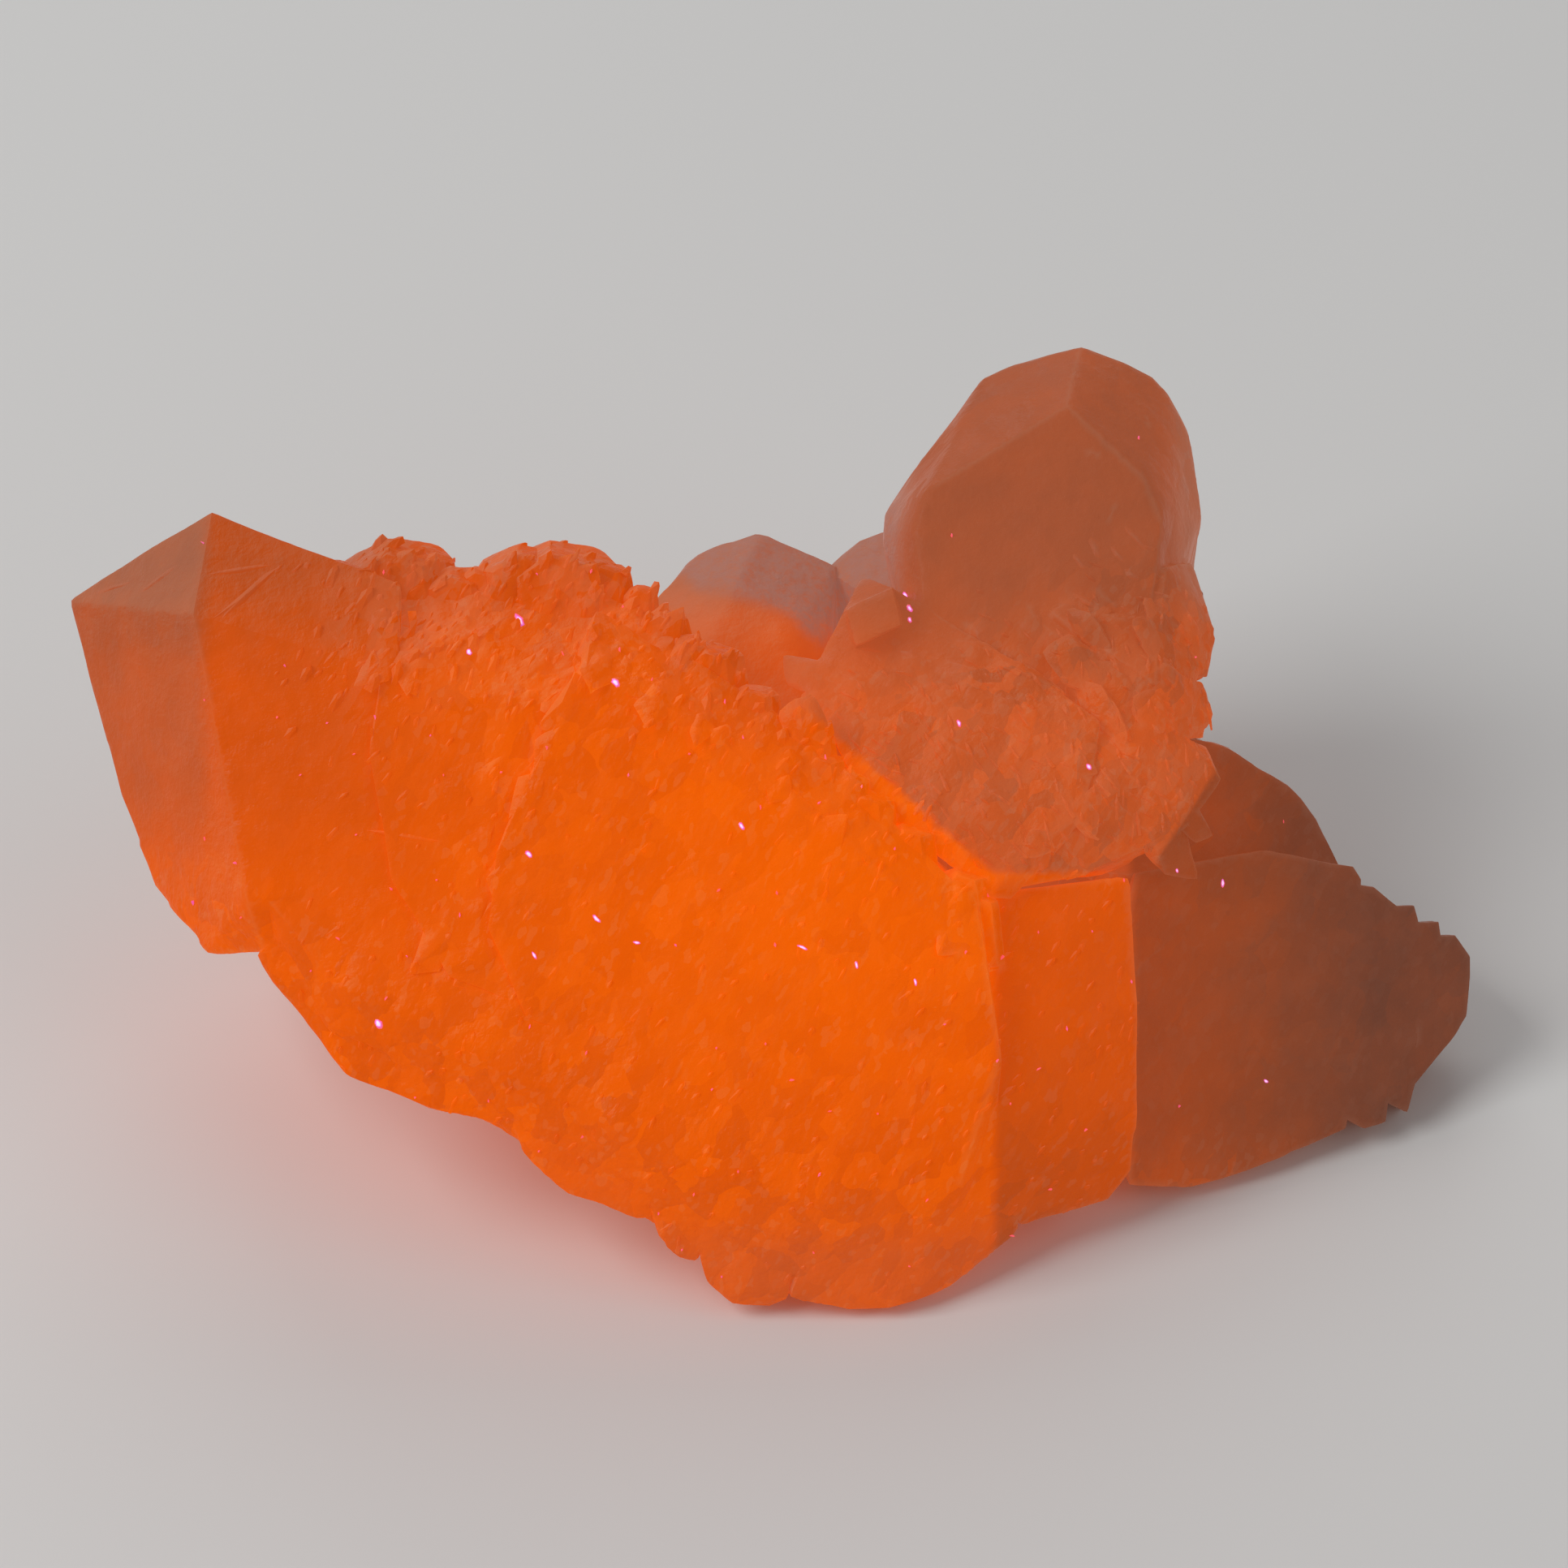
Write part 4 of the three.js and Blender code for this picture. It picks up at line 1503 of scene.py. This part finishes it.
    def rotation(self, tree: Tree, normal: Socket, given: bpy.types.bpy_prop_collection) -> Socket:
        """Stands a piece on the surface, lays it along the run and swings it a little.

        Args:
            tree: The tree being built.
            normal: The socket with the surface's normal.
            given: The tree's inputs.

        Returns:
            The socket with the rotation.
        """
        stood = tree.add("FunctionNodeAlignRotationToVector", {"Vector": normal}, axis="Z").outputs[0]
        inputs = {"Rotation": stood, "Vector": given["Run"]}
        laid = tree.add("FunctionNodeAlignRotationToVector", inputs, axis="X", pivot_axis="Z").outputs[0]
        least = (-self.tilt, -self.tilt, -1.0)
        most = (self.tilt, self.tilt, 1.0)
        turn = self.random(tree, least, most, given["Seed"], 7)
        swing = tree.vectors("SCALE", {0: turn, "Scale": given["Swing"]})[0]
        swung = tree.add("FunctionNodeEulerToRotation", {0: swing}).outputs[0]
        inputs = {"Rotation": laid, "Rotate By": swung}
        return tree.add("FunctionNodeRotateRotation", inputs, rotation_space="LOCAL").outputs[0]

    def random(self, tree: Tree, low: Triple, high: Triple, seed: Socket, step: int = 3) -> Socket:
        """A random vector for each piece.

        Args:
            tree: The tree being built.
            low: Its lowest values.
            high: Its highest values.
            seed: The socket with the crop's seed.
            step: What is added to the seed, so that no two vectors are alike.

        Returns:
            The socket with the vector.
        """
        inputs = {0: low, 1: high, "Seed": tree.plus(seed, float(step))}
        return tree.add("FunctionNodeRandomValue", inputs, data_type="FLOAT_VECTOR").outputs[0]


@dataclass(frozen=True)
class Studio:
    """The pale floor, the soft lights and the camera."""

    distance: float = 0.5
    elevation_deg: float = 40.0
    view_width: float = 0.10143
    sensor_mm: float = 36.0
    floor_half: float = 3.0
    floor_colour: Triple = (0.70, 0.695, 0.68)
    floor_roughness: float = 0.7
    floor_specular: float = 0.2
    world_colour: Triple = (0.80, 0.80, 0.82)
    world_strength: float = 0.34
    clip: Pair = (0.01, 20.0)
    lights: tuple[tuple[str, Triple, float, float], ...] = (
        ("key_light", (-0.42, -0.20, 0.50), 0.40, 2.3),
        ("fill_light", (0.50, -0.30, 0.35), 0.50, 0.6),
        ("back_light", (-0.05, 0.55, 0.42), 0.45, 1.0),
    )

    def build(self) -> None:
        """Makes the whole setting."""
        self.camera()
        self.floor()
        self.world()
        for light in self.lights:
            self.light(*light)

    def camera(self) -> None:
        """Makes the camera at the viewing angle of the showing side."""
        elevation = math.radians(self.elevation_deg)
        back = Vector((0.0, -math.cos(elevation), math.sin(elevation)))
        data = bpy.data.cameras.new("camera")
        data.sensor_width = self.sensor_mm
        data.lens = self.sensor_mm * self.distance / self.view_width
        data.clip_start, data.clip_end = self.clip
        made = placed("camera", data)
        self.aim(made, Vector((0.0, 0.0, SHOWING.lift_mm * MM)) + back * self.distance, -back)
        bpy.context.scene.camera = made

    def aim(self, made: bpy.types.Object, place: Vector, way: Vector) -> None:
        """Puts a camera or a light in its place, facing one way.

        Args:
            made: The camera or light.
            place: Where it is in metres.
            way: Which way it faces.
        """
        made.location = place
        made.rotation_mode = "QUATERNION"
        made.rotation_quaternion = way.to_track_quat("-Z", "Y")

    def floor(self) -> None:
        """Makes the plain pale floor."""
        half = self.floor_half
        mesh = bpy.data.meshes.new("floor")
        places = [(-half, -half, 0), (half, -half, 0), (half, half, 0), (-half, half, 0)]
        mesh.from_pydata(places, [], [(0, 1, 2, 3)])
        made = bpy.data.materials.new("pale_floor")
        made.use_nodes = True
        shader = made.node_tree.nodes["Principled BSDF"]
        shader.inputs["Base Color"].default_value = (*self.floor_colour, 1.0)
        shader.inputs["Roughness"].default_value = self.floor_roughness
        shader.inputs["Specular IOR Level"].default_value = self.floor_specular
        mesh.materials.append(made)
        floor = placed("floor", mesh)
        floor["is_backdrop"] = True

    def world(self) -> None:
        """Makes the even light from all round."""
        world = bpy.data.worlds.new("studio")
        world.use_nodes = True
        background = world.node_tree.nodes["Background"]
        background.inputs[0].default_value = (*self.world_colour, 1.0)
        background.inputs[1].default_value = self.world_strength
        bpy.context.scene.world = world
        bpy.context.scene.view_settings.view_transform = "Standard"

    def light(self, name: str, place: Triple, size: float, power: float) -> None:
        """Makes one soft light that faces the cluster.

        Args:
            name: Its name.
            place: Where it is in metres.
            size: Its side in metres.
            power: Its power in watts.
        """
        data = bpy.data.lights.new(name, "AREA")
        data.size = size
        data.energy = power
        target = Vector((0.0, 0.0, SHOWING.lift_mm * MM))
        self.aim(placed(name, data), Vector(place), target - Vector(place))


def laid(name: str, *rows: tuple[float, ...]) -> Slivers:
    """Puts together a set of slivers.

    Args:
        name: The name of the set.
        rows: The start, end, width and rise of each sliver on the showing side, in millimetres.

    Returns:
        The set.
    """
    return Slivers(name, tuple(Sliver(row[:2], row[2:4], *row[4:]) for row in rows))


CROPS = (
    Crop(
        "bank_shards",
        Layer.BANK_CROP,
        size=(0.95, 0.50, 0.13),
        spacing=0.62,
        per_area=1.5,
        run=(0.46, 0.88, 0.0),
        swing_deg=24.0,
        seed=5,
    ),
    Crop(
        "ridge_flakes",
        Layer.FLAKE_CROP,
        size=(1.7, 0.95, 0.40),
        spacing=1.3,
        per_area=0.22,
        run=(0.40, 0.90, 0.0),
        swing_deg=22.0,
        seed=31,
    ),
    Crop(
        "etched_shards",
        Layer.ETCHED_CROP,
        size=(1.30, 0.34, 0.16),
        spacing=0.62,
        per_area=1.1,
        run=(-0.62, 0.78, 0.0),
        swing_deg=38.0,
        seed=9,
        lean=0.3,
    ),
)
GLINTS = Crop(
    "glints",
    Layer.GLINT_CROP,
    size=(0.24, 0.13, 0.16),
    spacing=2.6,
    per_area=0.045,
    run=(0.3, 0.95, 0.0),
    swing_deg=60.0,
    seed=23,
    sides=4,
    sunk=-0.3,
)
SPARKS = laid(
    "sparks",
    (-17.0, 10.8, -16.4, 9.9, 0.42, 0.22),
    (-10.8, 6.6, -10.3, 6.1, 0.44, 0.20),
    (-19.9, 8.5, -19.7, 8.1, 0.34, 0.16),
    (-16.2, -4.2, -15.8, -4.6, 0.34, 0.16),
    (-2.8, -2.4, -2.5, -2.9, 0.30, 0.15),
    (-25.7, -14.8, -25.3, -15.4, 0.50, 0.20),
    (7.7, 12.4, 7.9, 11.9, 0.30, 0.15),
    (7.9, 11.5, 8.2, 11.0, 0.34, 0.15),
    (8.0, 10.7, 8.1, 10.3, 0.28, 0.15),
    (19.2, 1.3, 19.5, 0.9, 0.30, 0.15),
    (11.0, 4.1, 11.2, 3.6, 0.26, 0.15),
    (-12.0, -8.2, -11.5, -8.7, 0.26, 0.14),
    (0.8, -10.1, 1.5, -10.4, 0.20, 0.12),
    (4.5, -11.1, 4.6, -11.6, 0.22, 0.13),
    (8.2, -12.2, 8.3, -12.7, 0.20, 0.12),
    (-9.5, -9.9, -9.0, -10.0, 0.20, 0.12),
    (-15.8, -10.5, -15.5, -11.0, 0.20, 0.12),
    (28.3, -6.1, 28.3, -6.7, 0.24, 0.14),
    (25.1, -5.4, 25.2, -5.7, 0.20, 0.12),
    (31.0, -19.1, 31.3, -19.3, 0.20, 0.12),
)
SEAMS = laid(
    "seams",
    (-36.5, 9.6, -31.9, 13.7, 0.55, 0.24),
    (-36.4, 13.2, -32.4, 13.8, 0.34, 0.12),
    (-26.3, -2.9, -21.6, -3.6, 0.30, 0.10),
    (-44.2, 12.2, -41.6, 12.9, 0.26, 0.09),
    (-41.2, 12.0, -38.4, 13.9, 0.30, 0.10),
    (-40.6, 14.8, -38.9, 16.3, 0.22, 0.08),
    (19.7, 15.9, 20.3, 14.5, 0.60, 0.14),
    (18.5, 12.2, 20.2, 11.3, 0.45, 0.22),
    (21.0, 15.3, 21.9, 14.2, 0.40, 0.14),
    (21.9, 16.6, 23.4, 15.0, 0.45, 0.14),
    (21.9, 13.8, 22.8, 13.1, 0.55, 0.14),
    (20.8, 8.3, 21.7, 7.1, 0.50, 0.16),
    (24.3, 7.0, 25.3, 6.0, 0.50, 0.16),
    (18.6, 14.8, 19.3, 13.8, 0.45, 0.14),
)


def corners(box: tuple[Vector, Vector]) -> Box:
    """Writes a box as plain numbers.

    Args:
        box: Its lowest and highest corner.

    Returns:
        The two corners as lists.
    """
    return [list(corner) for corner in box]


def main() -> None:
    """Builds every piece in order."""
    logging.basicConfig(level=logging.INFO, format="%(name)s: %(message)s")
    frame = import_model()
    solid_box = corners(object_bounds())
    calcite = CalciteFinish().material()
    solid = frame["nodes"][SOLID]
    skin = ClusterSkin().build(solid, calcite)
    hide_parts(SOLID)
    pieces = [skin]
    pieces += [crop.build(skin, calcite, solid_box) for crop in CROPS]
    glint = GlintFinish().material()
    pieces.append(GLINTS.build(skin, glint, solid_box))
    pieces.append(SPARKS.build(skin, glint))
    pieces.append(SEAMS.build(skin, calcite))
    for piece in pieces:
        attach(piece, BODY)
        log.info("%s: %d faces", piece.name, len(piece.data.polygons))
    Studio().build()


if __name__ == "__main__":
    main()
